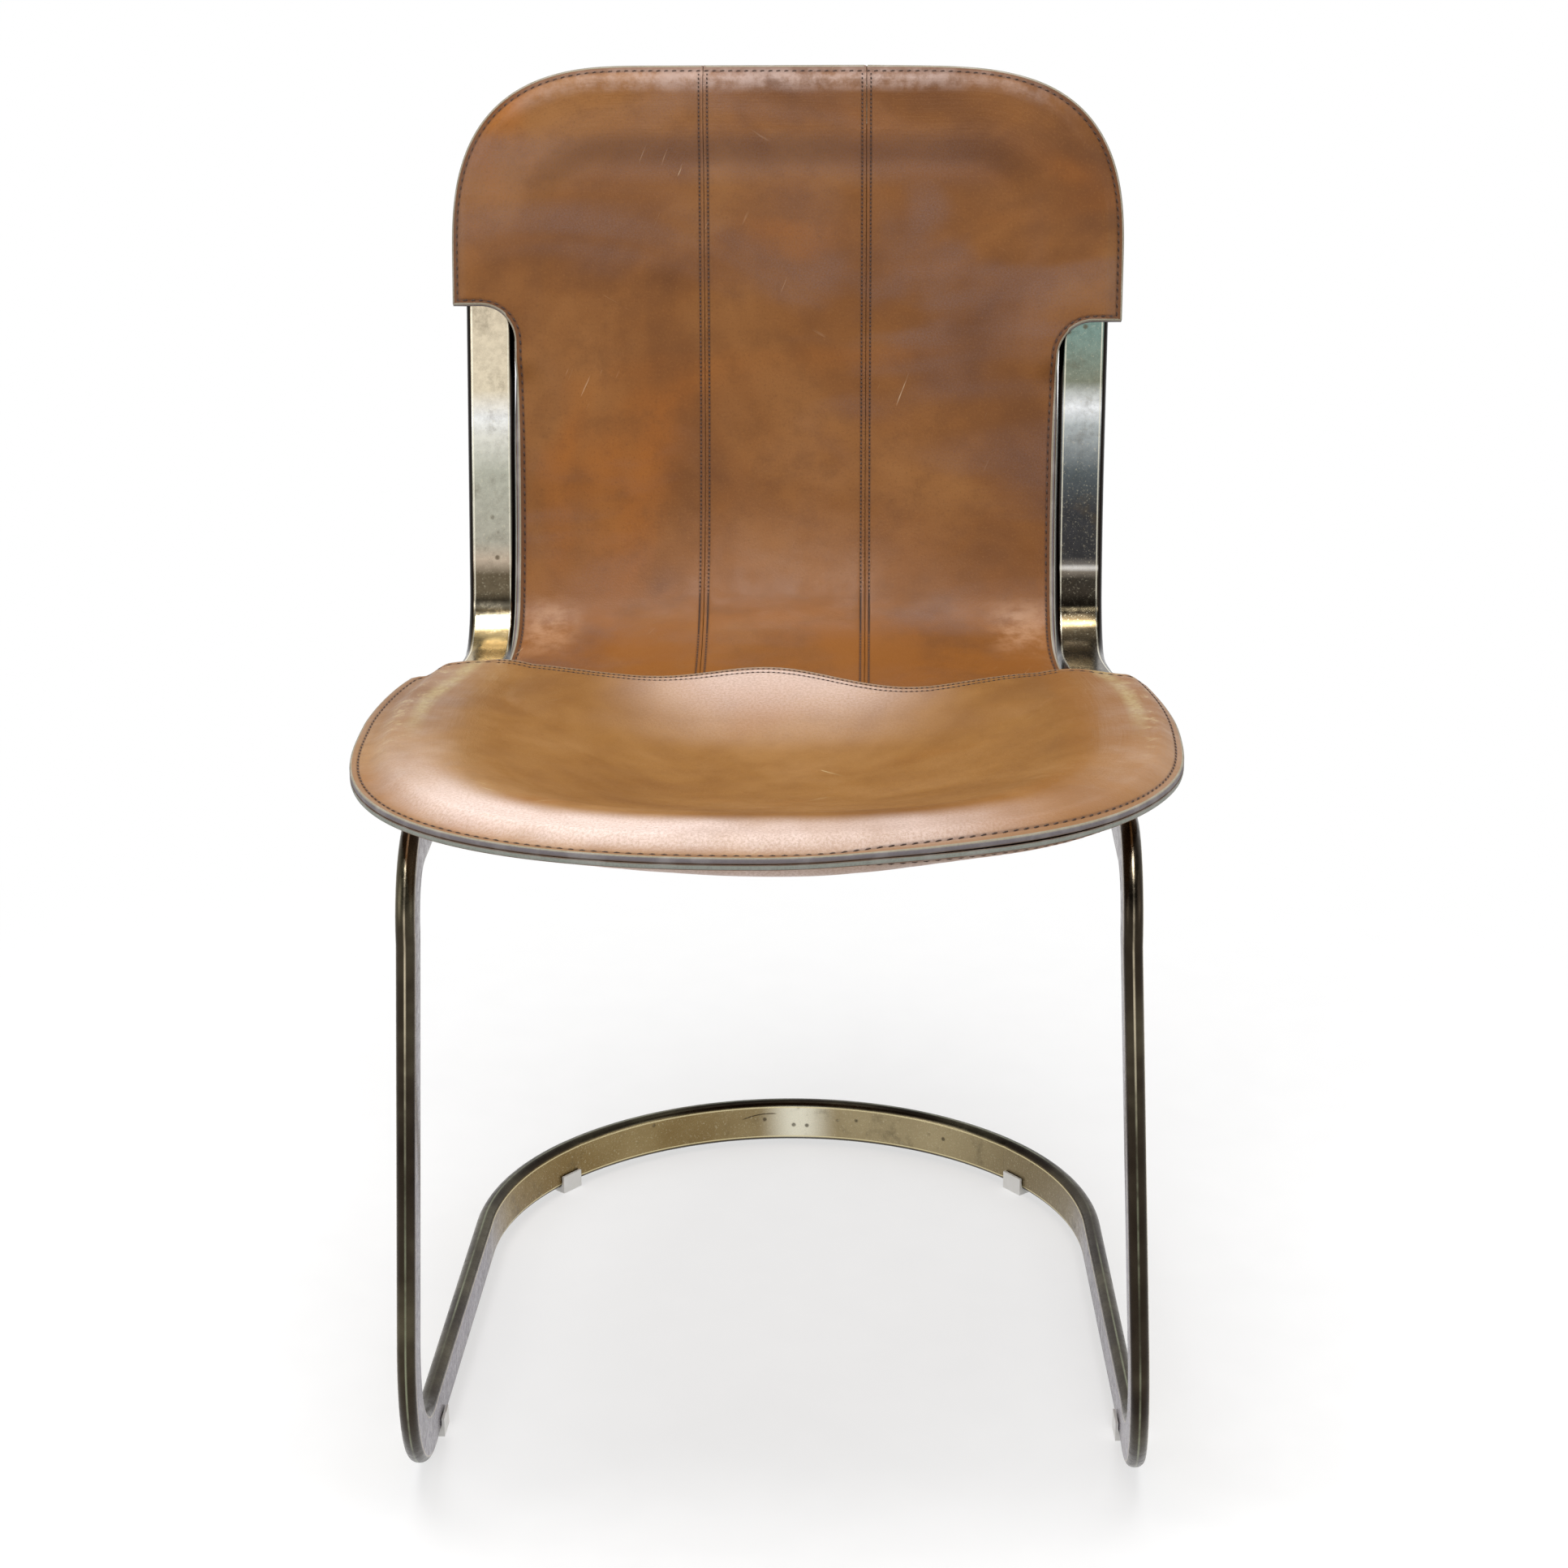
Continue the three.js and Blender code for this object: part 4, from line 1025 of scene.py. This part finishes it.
class Finish(Nodes):
    """A material being built. Its colour is laid over step by step."""

    def __init__(self, name):
        self.material = bpy.data.materials.new(name)
        self.material.use_nodes = True
        super().__init__(self.material.node_tree)
        self.tree.nodes.clear()
        self.shader = self.node("ShaderNodeBsdfPrincipled")
        self.output = self.node("ShaderNodeOutputMaterial", {0: self.shader.outputs[0]})
        self.colour = None

    def over(self, share, tone):
        self.colour = self.mix(share, self.colour, tone)

    def done(self, roughness, normal=None, metallic=0.0, specular=0.5):
        values = {"Base Color": self.colour, "Roughness": roughness, "Metallic": metallic,
                  "Specular IOR Level": specular}
        for label, value in values.items():
            self.put(self.shader.inputs[label], value)
        if normal is not None:
            self.put(self.shader.inputs["Normal"], normal)
        return self.material

    def pattern(self):
        return self.node("ShaderNodeUVMap", uv_map="pattern").outputs[0]

    def place(self):
        return self.node("ShaderNodeTexCoord").outputs["Object"]

    def attribute(self, label):
        return self.node("ShaderNodeAttribute", attribute_name=label).outputs["Fac"]

    def stretched(self, coordinates, scale, turn=0):
        return self.node("ShaderNodeMapping", {"Vector": coordinates, "Scale": scale,
                                               "Rotation": (0, 0, turn)}).outputs[0]

    def joined(self, *parts):
        return self.node("ShaderNodeCombineXYZ", dict(enumerate(parts))).outputs[0]

    def noise(self, coordinates, scale, detail=2.0, roughness=0.5, warp=0.0):
        return self.node("ShaderNodeTexNoise", {"Vector": coordinates, "Scale": scale, "Detail": detail,
                                                "Roughness": roughness, "Distortion": warp}).outputs["Fac"]

    def cells(self, coordinates, scale):
        return self.node("ShaderNodeTexVoronoi", {"Vector": coordinates, "Scale": scale}).outputs["Distance"]

    def patchy(self, coordinates, look, low, high, start=0.0, end=1.0):
        """Noise of a look, faded between two of its levels."""
        return self.fade(self.noise(coordinates, *look), low, high, start, end)

    def bump(self, height, distance, strength=1.0, below=None):
        lower = {} if below is None else {"Normal": below}
        return self.node("ShaderNodeBump", {"Height": height, "Distance": distance, "Strength": strength,
                                            **lower}).outputs[0]


def leather_ground(finish, flat, tones, speck):
    """Colour of the leather before its edges and wear: clouds of four tones, mottling and fine specks."""
    dark, middle, light, warm = tones
    finish.colour = finish.ramp(finish.noise(flat, 5, 4, 0.6, 0.5), (0.36, dark), (0.5, middle), (0.66, light))
    finish.over(finish.patchy(flat, (3.6, 3, 0.6, 0.9), 0.52, 0.7, 0, 0.8), warm)
    finish.over(finish.patchy(flat, (38, 5, 0.65), 0.42, 0.72, 0, 0.38), dark)
    fine = finish.noise(flat, 560, 3, 0.75)
    finish.over(finish.fade(fine, 0.54, 0.72, 0, speck), light)
    finish.over(finish.fade(fine, 0.46, 0.30, 0, speck), dark)


def leather_edges(finish, edge_tone, line_tone, line_share):
    """Tints the band outside the stitch row, draws the worn line at the very edge and darkens the row."""
    edge = finish.attribute("cut_edge")
    finish.over(finish.fade(edge, 0.006, 0.002, 0, 0.7), edge_tone)
    finish.over(finish.fade(edge, 0.0016, 0.0009, 0, line_share), line_tone)
    finish.over(finish.fade(finish.attribute("sewn"), 0.0014, 0.0004, 0, 0.45), (72, 44, 28))


def scratches(finish, flat, turn, scale, reach):
    """Sparse fine lines in about one direction, 1 on a line and 0 off it."""
    turned = finish.stretched(flat, (1, 1, 1), turn)
    lines = finish.noise(finish.stretched(turned, (scale, scale / 18, 1)), 1, 3, 0.6, 0.5)
    return finish.product(finish.fade(lines, 0.66, 0.71), finish.patchy(flat, (reach, 3, 0.6), 0.56, 0.66))


def leather_marks(finish, flat, first, second, tone):
    marks = finish.math("MAXIMUM", scratches(finish, flat, *first), scratches(finish, flat, *second))
    finish.over(finish.product(marks, 0.5), tone)


def leather_surface(finish, flat, look, low, high, specular):
    """Gloss and bump: pores, grain, soft dents, and fine wrinkles where the leather is rolled round the bar."""
    from_bar = finish.attribute("from_bar")
    place = finish.stretched(flat, (22, 22, 1))
    wrinkles = finish.noise(finish.joined(finish.product(from_bar, 520), finish.part(place, 0),
                                          finish.part(place, 1)), 1, 3, 0.6)
    rolled = finish.near(from_bar, 0, 0.045, 0.012)
    dents = finish.bump(finish.noise(flat, 48, 4, 0.6), 0.0012, 0.3)
    creases = finish.bump(finish.product(wrinkles, rolled), 0.0006, 0.35, dents)
    grain = finish.bump(finish.noise(flat, 700, 3, 0.65), 0.00022, 0.55, creases)
    pores = finish.bump(finish.cells(flat, 900), 0.00012, 0.3, grain)
    return finish.done(finish.patchy(flat, look, 0.3, 0.7, low, high), pores, specular=specular)


def back_hide_finish():
    # Back leather with real wear and scratches, and painted sheen and a painted highlight on its top roll
    finish = Finish("back_leather_wear_painted_sheen")
    flat = finish.pattern()
    across, run = finish.part(flat, 0), finish.part(flat, 1)
    leather_ground(finish, flat, ((98, 58, 24), (124, 78, 34), (144, 97, 50), (156, 92, 26)), 0.4)
    # Painted sheen: a bluish-grey reflection painted in a band under the top roll and in clouds
    below_roll = finish.product(finish.near(run, 0.772, 0.026, 0.004), finish.near(across, 0, 0.17, 0.09))
    clouds = finish.patchy(finish.stretched(flat, (4, 9, 1), 0.3), (1, 3, 0.6, 0.6), 0.48, 0.66)
    specks = finish.patchy(flat, (850, 3, 0.8), 0.3, 0.72, 0.2, 1)
    finish.over(finish.product(finish.math("MAXIMUM", below_roll, clouds), specks, 0.5), (120, 100, 96))
    # Orange towards the seat, and pale patches of painted sheen beside the strip's sides there
    finish.over(finish.product(finish.fade(run, 0.56, 0.43),
                               finish.patchy(flat, (14, 4, 0.6), 0.34, 0.6, 0.2, 0.75)), (138, 84, 28))
    finish.over(finish.product(finish.near(finish.math("ABSOLUTE", across), 0.158, 0.03, 0.004),
                               finish.near(run, 0.44, 0.05, 0.01),
                               finish.patchy(flat, (46, 4, 0.7), 0.34, 0.66, 0.05, 0.6)), (184, 142, 108))
    leather_edges(finish, (96, 60, 34), (112, 98, 86), 0.5)
    # Painted highlight along the top roll, where the leather turns over the bar
    worn = finish.product(finish.near(finish.attribute("from_bar"), 0.017, 0.011, 0.002),
                          finish.patchy(flat, (60, 4, 0.7), 0.35, 0.65, 0.1, 0.5))
    top = finish.product(finish.fade(run, 0.79, 0.815), finish.near(across, 0, 0.2, 0.05, 0.25, 1))
    finish.over(finish.product(worn, top), (198, 176, 166))
    leather_marks(finish, flat, (0.4, 300, 9), (2.1, 240, 6), (206, 182, 150))
    return leather_surface(finish, flat, (30, 4, 0.65), 0.4, 0.58, 0.32)


def seat_hide_finish():
    # Seat leather with real wear lines, scuffs and scratches, and a painted highlight on its front roll and crest
    finish = Finish("seat_leather_wear_painted_sheen")
    flat = finish.pattern()
    across, run, from_bar = finish.part(flat, 0), finish.part(flat, 1), finish.attribute("from_bar")
    leather_ground(finish, flat, ((126, 84, 38), (146, 103, 52), (164, 122, 74), (148, 94, 34)), 0.35)
    # Painted highlight (sheen) on the front roll and on the crest at the back
    roll = finish.product(finish.near(from_bar, 0.009, 0.03, 0.006),
                          finish.near(across, -0.055, 0.23, 0.12, 0.06, 1), finish.fade(run, 0.2, 0.02, 0.1, 1))
    specks = finish.patchy(flat, (540, 4, 0.8), 0.36, 0.62, 0.6, 1)
    clouds = finish.patchy(flat, (9, 3, 0.6, 0.4), 0.3, 0.62, 0.55, 1)
    crest = finish.product(finish.fade(run, 0.26, 0.37), finish.near(across, 0, 0.13, 0.03))
    pale = finish.math("MAXIMUM", finish.product(roll, specks, clouds), finish.product(crest, specks, 0.75))
    finish.over(finish.product(finish.fade(across, 0.06, 0.16), finish.near(from_bar, 0, 0.05, 0.02), 0.5),
                (152, 100, 44))
    # The pale painted highlight laid over the colour
    finish.over(finish.product(pale, 0.92), (244, 224, 216))
    leather_edges(finish, (140, 102, 66), (160, 148, 118), 0.7)
    # Greenish line worn along the side bars, and scuffs outside it
    wander = finish.patchy(flat, (6, 2, 0.5), 0.2, 0.8, -0.008, 0.004)
    finish.over(finish.product(finish.near(finish.math("ADD", from_bar, wander), 0, 0.009, 0.001),
                               finish.patchy(flat, (240, 4, 0.8), 0.36, 0.6, 0.35, 1),
                               finish.patchy(flat, (22, 3, 0.6), 0.3, 0.56, 0.35, 1),
                               finish.fade(run, 0.18, 0.28), finish.fade(run, 0.4, 0.36), 0.55), (190, 176, 124))
    finish.over(finish.product(finish.near(from_bar, 0.016, 0.014, 0.003),
                               finish.patchy(flat, (70, 5, 0.75), 0.52, 0.64),
                               finish.fade(run, 0.12, 0.22, 0, 0.8), 0.45), (204, 186, 138))
    leather_marks(finish, flat, (0.7, 280, 8), (2.3, 250, 6), (222, 206, 160))
    return leather_surface(finish, flat, (34, 4, 0.65), 0.36, 0.54, 0.45)


def raw_edge_finish(name, grain_side, middle, flesh_side):
    """Cut edge of a leather: its grain side, a grey and fibrous middle, and its flesh side."""
    finish = Finish(name)
    place = finish.place()
    fibres = finish.noise(place, 700, 4, 0.7)
    finish.colour = finish.ramp(finish.fade(finish.attribute("through"), -1, 1), (0, flesh_side), (0.14, middle),
                                (0.86, middle), (0.97, grain_side))
    finish.over(finish.fade(fibres, 0.4, 0.72, 0, 0.35), (104, 98, 94))
    finish.over(finish.patchy(place, (60, 3), 0.45, 0.7, 0, 0.3), (182, 176, 170))
    return finish.done(0.8, finish.bump(fibres, 0.0004, 0.7))


def thread_finish():
    finish = Finish("waxed_thread")
    twist = finish.noise(finish.place(), 1800, 2, 0.6)
    finish.colour = finish.ramp(twist, (0.35, (42, 29, 24)), (0.7, (92, 66, 52)))
    return finish.done(0.6, finish.bump(twist, 0.0002, 0.6))


def bar_wear(finish, place, spot_tone, spots_share):
    """Dark spots, fine specks and grime that the plating has picked up."""
    pits = finish.product(finish.fade(finish.cells(place, 90), 0.2, 0.08), finish.patchy(place, (17, 3), 0.48, 0.6))
    finish.over(finish.product(pits, spots_share), spot_tone)
    finish.over(finish.patchy(place, (640, 3, 0.8), 0.56, 0.7, 0, 0.32), (236, 226, 196))
    finish.over(finish.patchy(place, (46, 5, 0.7), 0.52, 0.72, 0, 0.4), spot_tone)


def bar_surface(finish, place, low, high):
    dents = finish.bump(finish.noise(place, 42, 4, 0.6), 0.0006, 0.12)
    return finish.done(finish.patchy(place, (210, 4, 0.7), 0.3, 0.72, low, high),
                       finish.bump(finish.noise(place, 900, 2, 0.6), 0.00008, 0.3, dents), metallic=1.0)


def base_bar_finish():
    """Plating of the base: grey inner faces as a painted reflection, brass tarnish outside and at the hoop, dark
    olive rims of tarnish and painted dark reflection.
    """
    finish = Finish("plating_tarnish_painted_reflection")
    place = finish.place()
    across, height = finish.part(place, 0), finish.part(place, 2)
    along, rim = finish.attribute("along"), finish.attribute("rim")
    cloud = finish.noise(place, 11, 4, 0.6)
    # Inner faces grey-lavender as a painted reflection, darker towards the top as a painted dark reflection; the
    # outer faces take brass tarnish
    finish.colour = finish.ramp(cloud, (0.35, (108, 102, 112)), (0.6, (134, 128, 138)))
    finish.over(finish.fade(height, 0.26, 0.4, 0, 0.8), (82, 68, 70))
    finish.over(finish.fade(finish.attribute("outer"), -0.3, 0.3),
                finish.ramp(cloud, (0.35, (118, 106, 80)), (0.6, (156, 140, 102))))
    rail = finish.colour
    # Hoop: lighter towards the middle and darker at its right end as painted reflection, with a painted highlight
    # (glint) in its middle and a thin dark curved line beside it
    finish.colour = finish.ramp(finish.noise(place, 7, 3, 0.6), (0.36, (128, 106, 66)), (0.62, (164, 146, 106)))
    finish.over(finish.fade(across, -0.1, 0.06, 0, 0.5), (184, 172, 140))
    finish.over(finish.fade(across, 0.1, 0.18, 0, 0.7), (116, 102, 76))
    finish.over(finish.near(across, 0.003, 0.032, 0.002, 0, 0.85), (246, 242, 222))
    from_middle = finish.node("ShaderNodeVectorMath", {0: finish.joined(across, height, 0), 1: (-0.018, -0.03, 0)},
                              operation="DISTANCE").outputs["Value"]
    finish.over(finish.product(finish.near(from_middle, 0.056, 0.0006, 0.0002),
                               finish.near(across, -0.026, 0.014, 0.01)), (70, 58, 42))
    finish.colour = finish.mix(finish.fade(along, 0.36, 0.26), rail, finish.colour)
    bar_wear(finish, place, (66, 58, 44), 0.8)
    # Rim, dark with tarnish and painted dark reflection, the thin painted highlight along its middle and painted
    # highlights on its shoulders
    finish.over(finish.fade(rim, 0.12, 0.5), finish.ramp(finish.noise(place, 9, 4, 0.6), (0.38, (38, 31, 25)),
                                                         (0.5, (54, 47, 38)), (0.66, (84, 78, 62))))
    finish.over(finish.product(finish.fade(rim, 0.975, 0.998),
                               finish.patchy(place, (13, 5, 0.65), 0.36, 0.62, 0.1, 0.8)),
                finish.mix(finish.fade(height, 0.22, 0.4), (138, 142, 118), (230, 214, 184)))
    finish.over(finish.product(finish.fade(rim, 0.02, 0.1), finish.fade(rim, 0.32, 0.14),
                               finish.fade(along, 0.5, 0.2, 0.35, 0.9)), (236, 222, 176))
    return bar_surface(finish, place, 0.2, 0.38)


def loop_bar_finish():
    """Plating of the upper loop, with painted reflections and highlights in bands along the bars: pale brass on the
    left, darker on the right as painted reflection, and green patina at the top on the right.
    """
    finish = Finish("plating_patina_painted_reflection")
    place = finish.place()
    rim = finish.attribute("rim")
    upward = finish.fade(finish.attribute("along"), 0.42, 0.68, curve="LINEAR")
    # Bands along each back bar: painted highlights and darker painted reflections over brass, with green patina at
    # the top of the right bar
    left = finish.ramp(
        upward, (0.08, (176, 154, 108)), (0.15, (190, 168, 124)), (0.17, (240, 226, 190)), (0.185, (140, 118, 80)),
        (0.2, (240, 226, 196)), (0.215, (108, 96, 76)), (0.285, (108, 96, 76)), (0.325, (204, 186, 164)),
        (0.37, (182, 178, 162)), (0.55, (190, 190, 174)), (0.64, (234, 232, 220)), (0.69, (254, 254, 251)),
        (0.76, (236, 222, 194)), (1.0, (234, 218, 190)))
    right = finish.ramp(
        upward, (0.08, (82, 72, 56)), (0.13, (76, 66, 50)), (0.145, (184, 160, 114)), (0.158, (82, 70, 50)),
        (0.182, (64, 56, 45)), (0.19, (232, 210, 166)), (0.198, (64, 56, 46)), (0.275, (60, 55, 48)),
        (0.293, (136, 126, 114)), (0.303, (240, 236, 230)), (0.313, (116, 110, 104)), (0.33, (60, 59, 60)),
        (0.45, (64, 64, 66)), (0.55, (92, 99, 101)), (0.67, (186, 192, 192)), (0.715, (252, 254, 255)),
        (0.78, (138, 142, 124)), (0.9, (132, 156, 146)), (1.0, (130, 160, 152)))
    finish.colour = finish.mix(finish.fade(finish.part(place, 0), -0.02, 0.02), left, right)
    bar_wear(finish, place, (98, 84, 62), 0.75)
    # Rims dark with tarnish and painted dark reflection, and a thin painted highlight along the faces' edges
    finish.over(finish.fade(rim, 0.16, 0.46), (30, 25, 22))
    finish.over(finish.product(finish.fade(rim, 0.03, 0.1), finish.fade(rim, 0.3, 0.14), 0.7), (252, 246, 224))
    return bar_surface(finish, place, 0.14, 0.3)


def plastic_finish():
    finish = Finish("glide_plastic_pale")
    place = finish.place()
    finish.colour = finish.ramp(finish.noise(place, 90, 3), (0.3, (240, 239, 234)), (0.7, (250, 249, 246)))
    return finish.done(finish.ramp(finish.noise(place, 300, 3), (0.3, 0.32), (0.7, 0.5)),
                       finish.bump(finish.noise(place, 400, 2), 0.0002, 0.3))


def steel_finish():
    finish = Finish("bolt_steel_dull")
    place = finish.place()
    finish.colour = finish.ramp(finish.noise(place, 260, 4), (0.3, (96, 92, 86)), (0.7, (140, 136, 128)))
    return finish.done(finish.ramp(finish.noise(place, 600, 3), (0.3, 0.3), (0.7, 0.5)), metallic=1.0)


# Stage
def make_camera():
    forward = Vector((-math.sin(CAMERA_YAW) * math.cos(CAMERA_PITCH),
                      math.cos(CAMERA_YAW) * math.cos(CAMERA_PITCH), -math.sin(CAMERA_PITCH)))
    level = Vector((math.cos(CAMERA_YAW), math.sin(CAMERA_YAW), 0))
    upright = level.cross(forward)
    right = math.cos(CAMERA_ROLL) * level + math.sin(CAMERA_ROLL) * upright
    up = -math.sin(CAMERA_ROLL) * level + math.cos(CAMERA_ROLL) * upright
    data = bpy.data.cameras.new("camera")
    data.lens = CAMERA_LENS_MM
    data.sensor_width = 36
    data.dof.use_dof = False
    camera = bpy.data.objects.new("camera", data)
    turn = Matrix((right, up, -forward)).transposed().to_4x4()
    camera.matrix_world = Matrix.Translation(CAMERA_PLACE) @ turn
    bpy.context.scene.collection.objects.link(camera)
    bpy.context.scene.camera = camera


def make_lamp(name, place, target, size, power):
    data = bpy.data.lights.new(name, "AREA")
    data.shape = "RECTANGLE"
    data.size, data.size_y = size
    data.energy = power
    lamp = bpy.data.objects.new(name, data)
    lamp.location = place
    lamp.rotation_euler = (Vector(target) - Vector(place)).to_track_quat("-Z", "Y").to_euler()
    bpy.context.scene.collection.objects.link(lamp)


def make_world():
    """White for the camera, and a studio in reflections: a white wall behind, low and overhead white panels,
    and a darker room in front. As light on the chair it is even."""
    world = bpy.data.worlds.new("studio")
    bpy.context.scene.world = world
    world.use_nodes = True
    studio = Nodes(world.node_tree)
    way = studio.node("ShaderNodeTexCoord").outputs["Generated"]
    height = studio.part(way, 2)
    front = studio.ramp(height, (0.0, 0.55), (0.16, 0.95), (0.27, 1.0), (0.36, 0.3), (0.5, 0.12), (0.9, 0.16),
                        (0.97, 1.0))
    rear = studio.ramp(height, (0.0, 1.0), (0.5, 1.0), (0.7, 0.4), (0.9, 0.3), (0.97, 1.0))
    room = studio.mix(studio.fade(studio.part(way, 1), -0.15, 0.35, curve="LINEAR"), front, rear)
    path = studio.node("ShaderNodeLightPath")
    lit = studio.mix(path.outputs["Is Glossy Ray"], WORLD_LIGHT, room)
    through = studio.math("MAXIMUM", path.outputs["Is Camera Ray"], path.outputs["Is Transmission Ray"])
    studio.put(world.node_tree.nodes["Background"].inputs["Color"], studio.mix(through, lit, 1))


def make_floor():
    """Pale floor that keeps the chair's shadow and turns white away from it."""
    deselect()
    bpy.ops.mesh.primitive_circle_add(vertices=96, radius=9, fill_type="NGON", location=(0, 2.5, -0.0003))
    bpy.ops.object.transform_apply(location=True)
    floor = bpy.context.object
    floor.name = "floor"
    finish = Finish("floor_pale")
    place = finish.place()
    finish.colour = finish.ramp(finish.noise(place, 30, 3), (0.3, 0.44), (0.7, 0.46))
    path = finish.node("ShaderNodeLightPath")
    seen = finish.math("MAXIMUM", path.outputs["Is Camera Ray"], path.outputs["Is Glossy Ray"])
    near, far = (finish.node("ShaderNodeEmission", {"Strength": finish.fade(seen, 0, 1, *strengths)}).outputs[0]
                 for strengths in (FLOOR_GLOWS, FLOOR_WHITES))
    shadowed = finish.node("ShaderNodeAddShader", {0: finish.shader.outputs[0], 1: near}).outputs[0]
    distance = finish.node("ShaderNodeVectorMath", {0: place}, operation="LENGTH").outputs["Value"]
    whole = finish.node("ShaderNodeMixShader", {0: finish.fade(distance, WHITE_FROM, WHITE_TO), 1: shadowed, 2: far})
    finish.put(finish.output.inputs[0], whole.outputs[0])
    floor.data.materials.append(finish.done(0.9, specular=0.0))


def make_stage():
    scene = bpy.context.scene
    scene.view_settings.view_transform = "Standard"
    make_world()
    make_lamp("overhead", (-0.1, -0.45, 2.3), (0, 0, 0.45), (1.6, 1.0), 34)
    make_lamp("left_fill", (-2.2, -1.2, 1.3), (0, 0, 0.5), (1.2, 1.6), 10)
    make_lamp("right_fill", (2.2, -1.0, 1.3), (0, 0, 0.5), (1.2, 1.6), 7)
    make_floor()


# The chair
def declare(piece, slot_name, *nodes):
    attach(piece, "root")
    if nodes:
        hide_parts(*nodes)


def make_bars():
    base = make_base_bar(base_bar_finish())
    cut_bolt_recesses(base)
    loop = make_loop_bar(loop_bar_finish())
    declare(base, "bar_metal", "base_frame")
    declare(loop, "bar_metal", "seat_back_loop")


def make_leather():
    back, seat = back_hide_finish(), seat_hide_finish()
    lilac_cut = raw_edge_finish("leather_cut_edge_upper", (150, 142, 122), (120, 113, 116), (108, 82, 62))
    green_cut = raw_edge_finish("leather_cut_edge_lower", (118, 84, 58), (150, 154, 144), (108, 82, 62))
    thread = thread_finish()
    back_edge = back_outline()
    back_row = offset_line(back_edge, BACK_ROW_INSET)
    seam_rows, grooves = ([(seam_row(side * (SEAM_HALF + shift)), False)
                           for side in (-1, 1) for shift in (-inset, inset)]
                          for inset in (SEAM_ROW_INSET, SEAM_GROOVE_INSET))
    seat_edge = seat_outline(CREST_RUN)
    under_edge = seat_outline(UNDER_CREST_RUN)
    seat_row = front_part(offset_line(seat_edge, SEAT_ROW_INSET))
    wave_rows = [rear_part(offset_line(seat_edge, inset)) for inset in WAVE_ROW_INSETS]
    seat_rows = [(seat_row, False), *[(row, False) for row in wave_rows]]

    def panel(outline, low, high):
        """Front piece of the back between two places across, with the rows and grooves that lie on it."""
        def lying(lines):
            return [line for line in lines if low < line[0][0, 0] < high]
        row = (part_of(back_row, low, high), False)
        return Hide(outline, [row, *lying(seam_rows)], lying(grooves), back_rise, 1, True, back_edge)

    hides = {
        "back_leather_left": (panel(side_panel_outline(-1), -1, -SEAM_HALF), back,
                              "back_leather", "back_panel_left"),
        "back_leather_centre": (panel(centre_panel_outline(), -SEAM_HALF, SEAM_HALF), back,
                                "back_leather", "back_panel_centre"),
        "back_leather_right": (panel(side_panel_outline(1), SEAM_HALF, 1), back,
                               "back_leather", "back_panel_right"),
        "back_leather_rear": (Hide(back_edge, [(back_row, True), *seam_rows], [], back_rise, -1, True), back,
                              "back_leather", "back_lining"),
        "seat_leather_top": (Hide(seat_edge, seat_rows, [], seat_rise, 1, False), seat,
                             "seat_leather", "seat_top_leather"),
        "seat_leather_under": (Hide(under_edge, seat_rows[:1], [], seat_rise, -1, False), seat,
                               "seat_leather", "seat_under_leather"),
    }
    front = Hide(back_edge, [(back_row, True), *seam_rows], [], back_rise, 1, True)
    rear, top, under = (hides[name][0] for name in
                        ("back_leather_rear", "seat_leather_top", "seat_leather_under"))
    back_rows = [(back_row, True, EDGE_PITCH), *[(row, False, SEAM_PITCH) for row, _ in seam_rows]]
    threads = {
        "back_leather_centre": ("back_stitches_front", front, back_rows),
        "back_leather_rear": ("back_stitches_rear", rear, back_rows),
        "seat_leather_top": ("seat_stitches_top", top, [(seat_row, False, SEAT_PITCH),
                                                        *[(row, False, WAVE_PITCH) for row in wave_rows]]),
        "seat_leather_under": ("seat_stitches_under", under, [(seat_row, False, SEAT_PITCH)]),
    }
    for name, (hide, finish, slot_name, node) in hides.items():
        piece, flat, area = cut_hide(name, hide, (finish, lilac_cut if hide.layer > 0 else green_cut))
        declare(piece, slot_name, node)
        sewn = [sewn_rows(*threads[name], thread)] if name in threads else []
        for stitches in sewn:
            declare(stitches, None)


def front_part(row):
    """The part of the seat's stitch row round the front, the sides and the flaps, up to the strip's sides."""
    across = np.abs(row[:, 0] - SEAT_SHIFT)
    return longest_run(row, (row[:, 1] < TROUGH_RUN - 0.02) | (across > STRIP_HALF + ROW_PAST_STRIP))


def rear_part(row):
    """The part of a stitch row along the wave, between the strip's sides."""
    across = np.abs(row[:, 0] - SEAT_SHIFT)
    return longest_run(row, (across < STRIP_HALF + ROW_PAST_STRIP) & (row[:, 1] > STRIP_END_RUN))


def part_of(row, low, high):
    """The part of the back's closed stitch row between two places across, above the strip's lower end."""
    lowest = STRIP_END_RUN + 2 * BACK_ROW_INSET if abs(low) == 1 or high == 1 else STRIP_TOP_RUN
    return longest_run(row, (row[:, 0] > low) & (row[:, 0] < high) & (row[:, 1] > lowest))


def longest_run(row, keep):
    """The longest unbroken run of kept points of a closed row."""
    start = int(np.argmin(keep))
    row, keep = np.roll(row, -start, axis=0), np.roll(keep, -start)
    best, current = [], []
    for spot, kept in zip(row, keep):
        current = [*current, spot] if kept else []
        if len(current) > len(best):
            best = current
    return np.array(best)


def finish_cad_nodes():
    for start, finish in (("glide", plastic_finish()), ("seat_bolt", steel_finish())):
        for name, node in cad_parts.items():
            if name.startswith(start):
                node.data.materials.clear()
                node.data.materials.append(finish)


make_camera()
make_stage()
make_bars()
make_leather()
finish_cad_nodes()

bpy.context.view_layer.update()
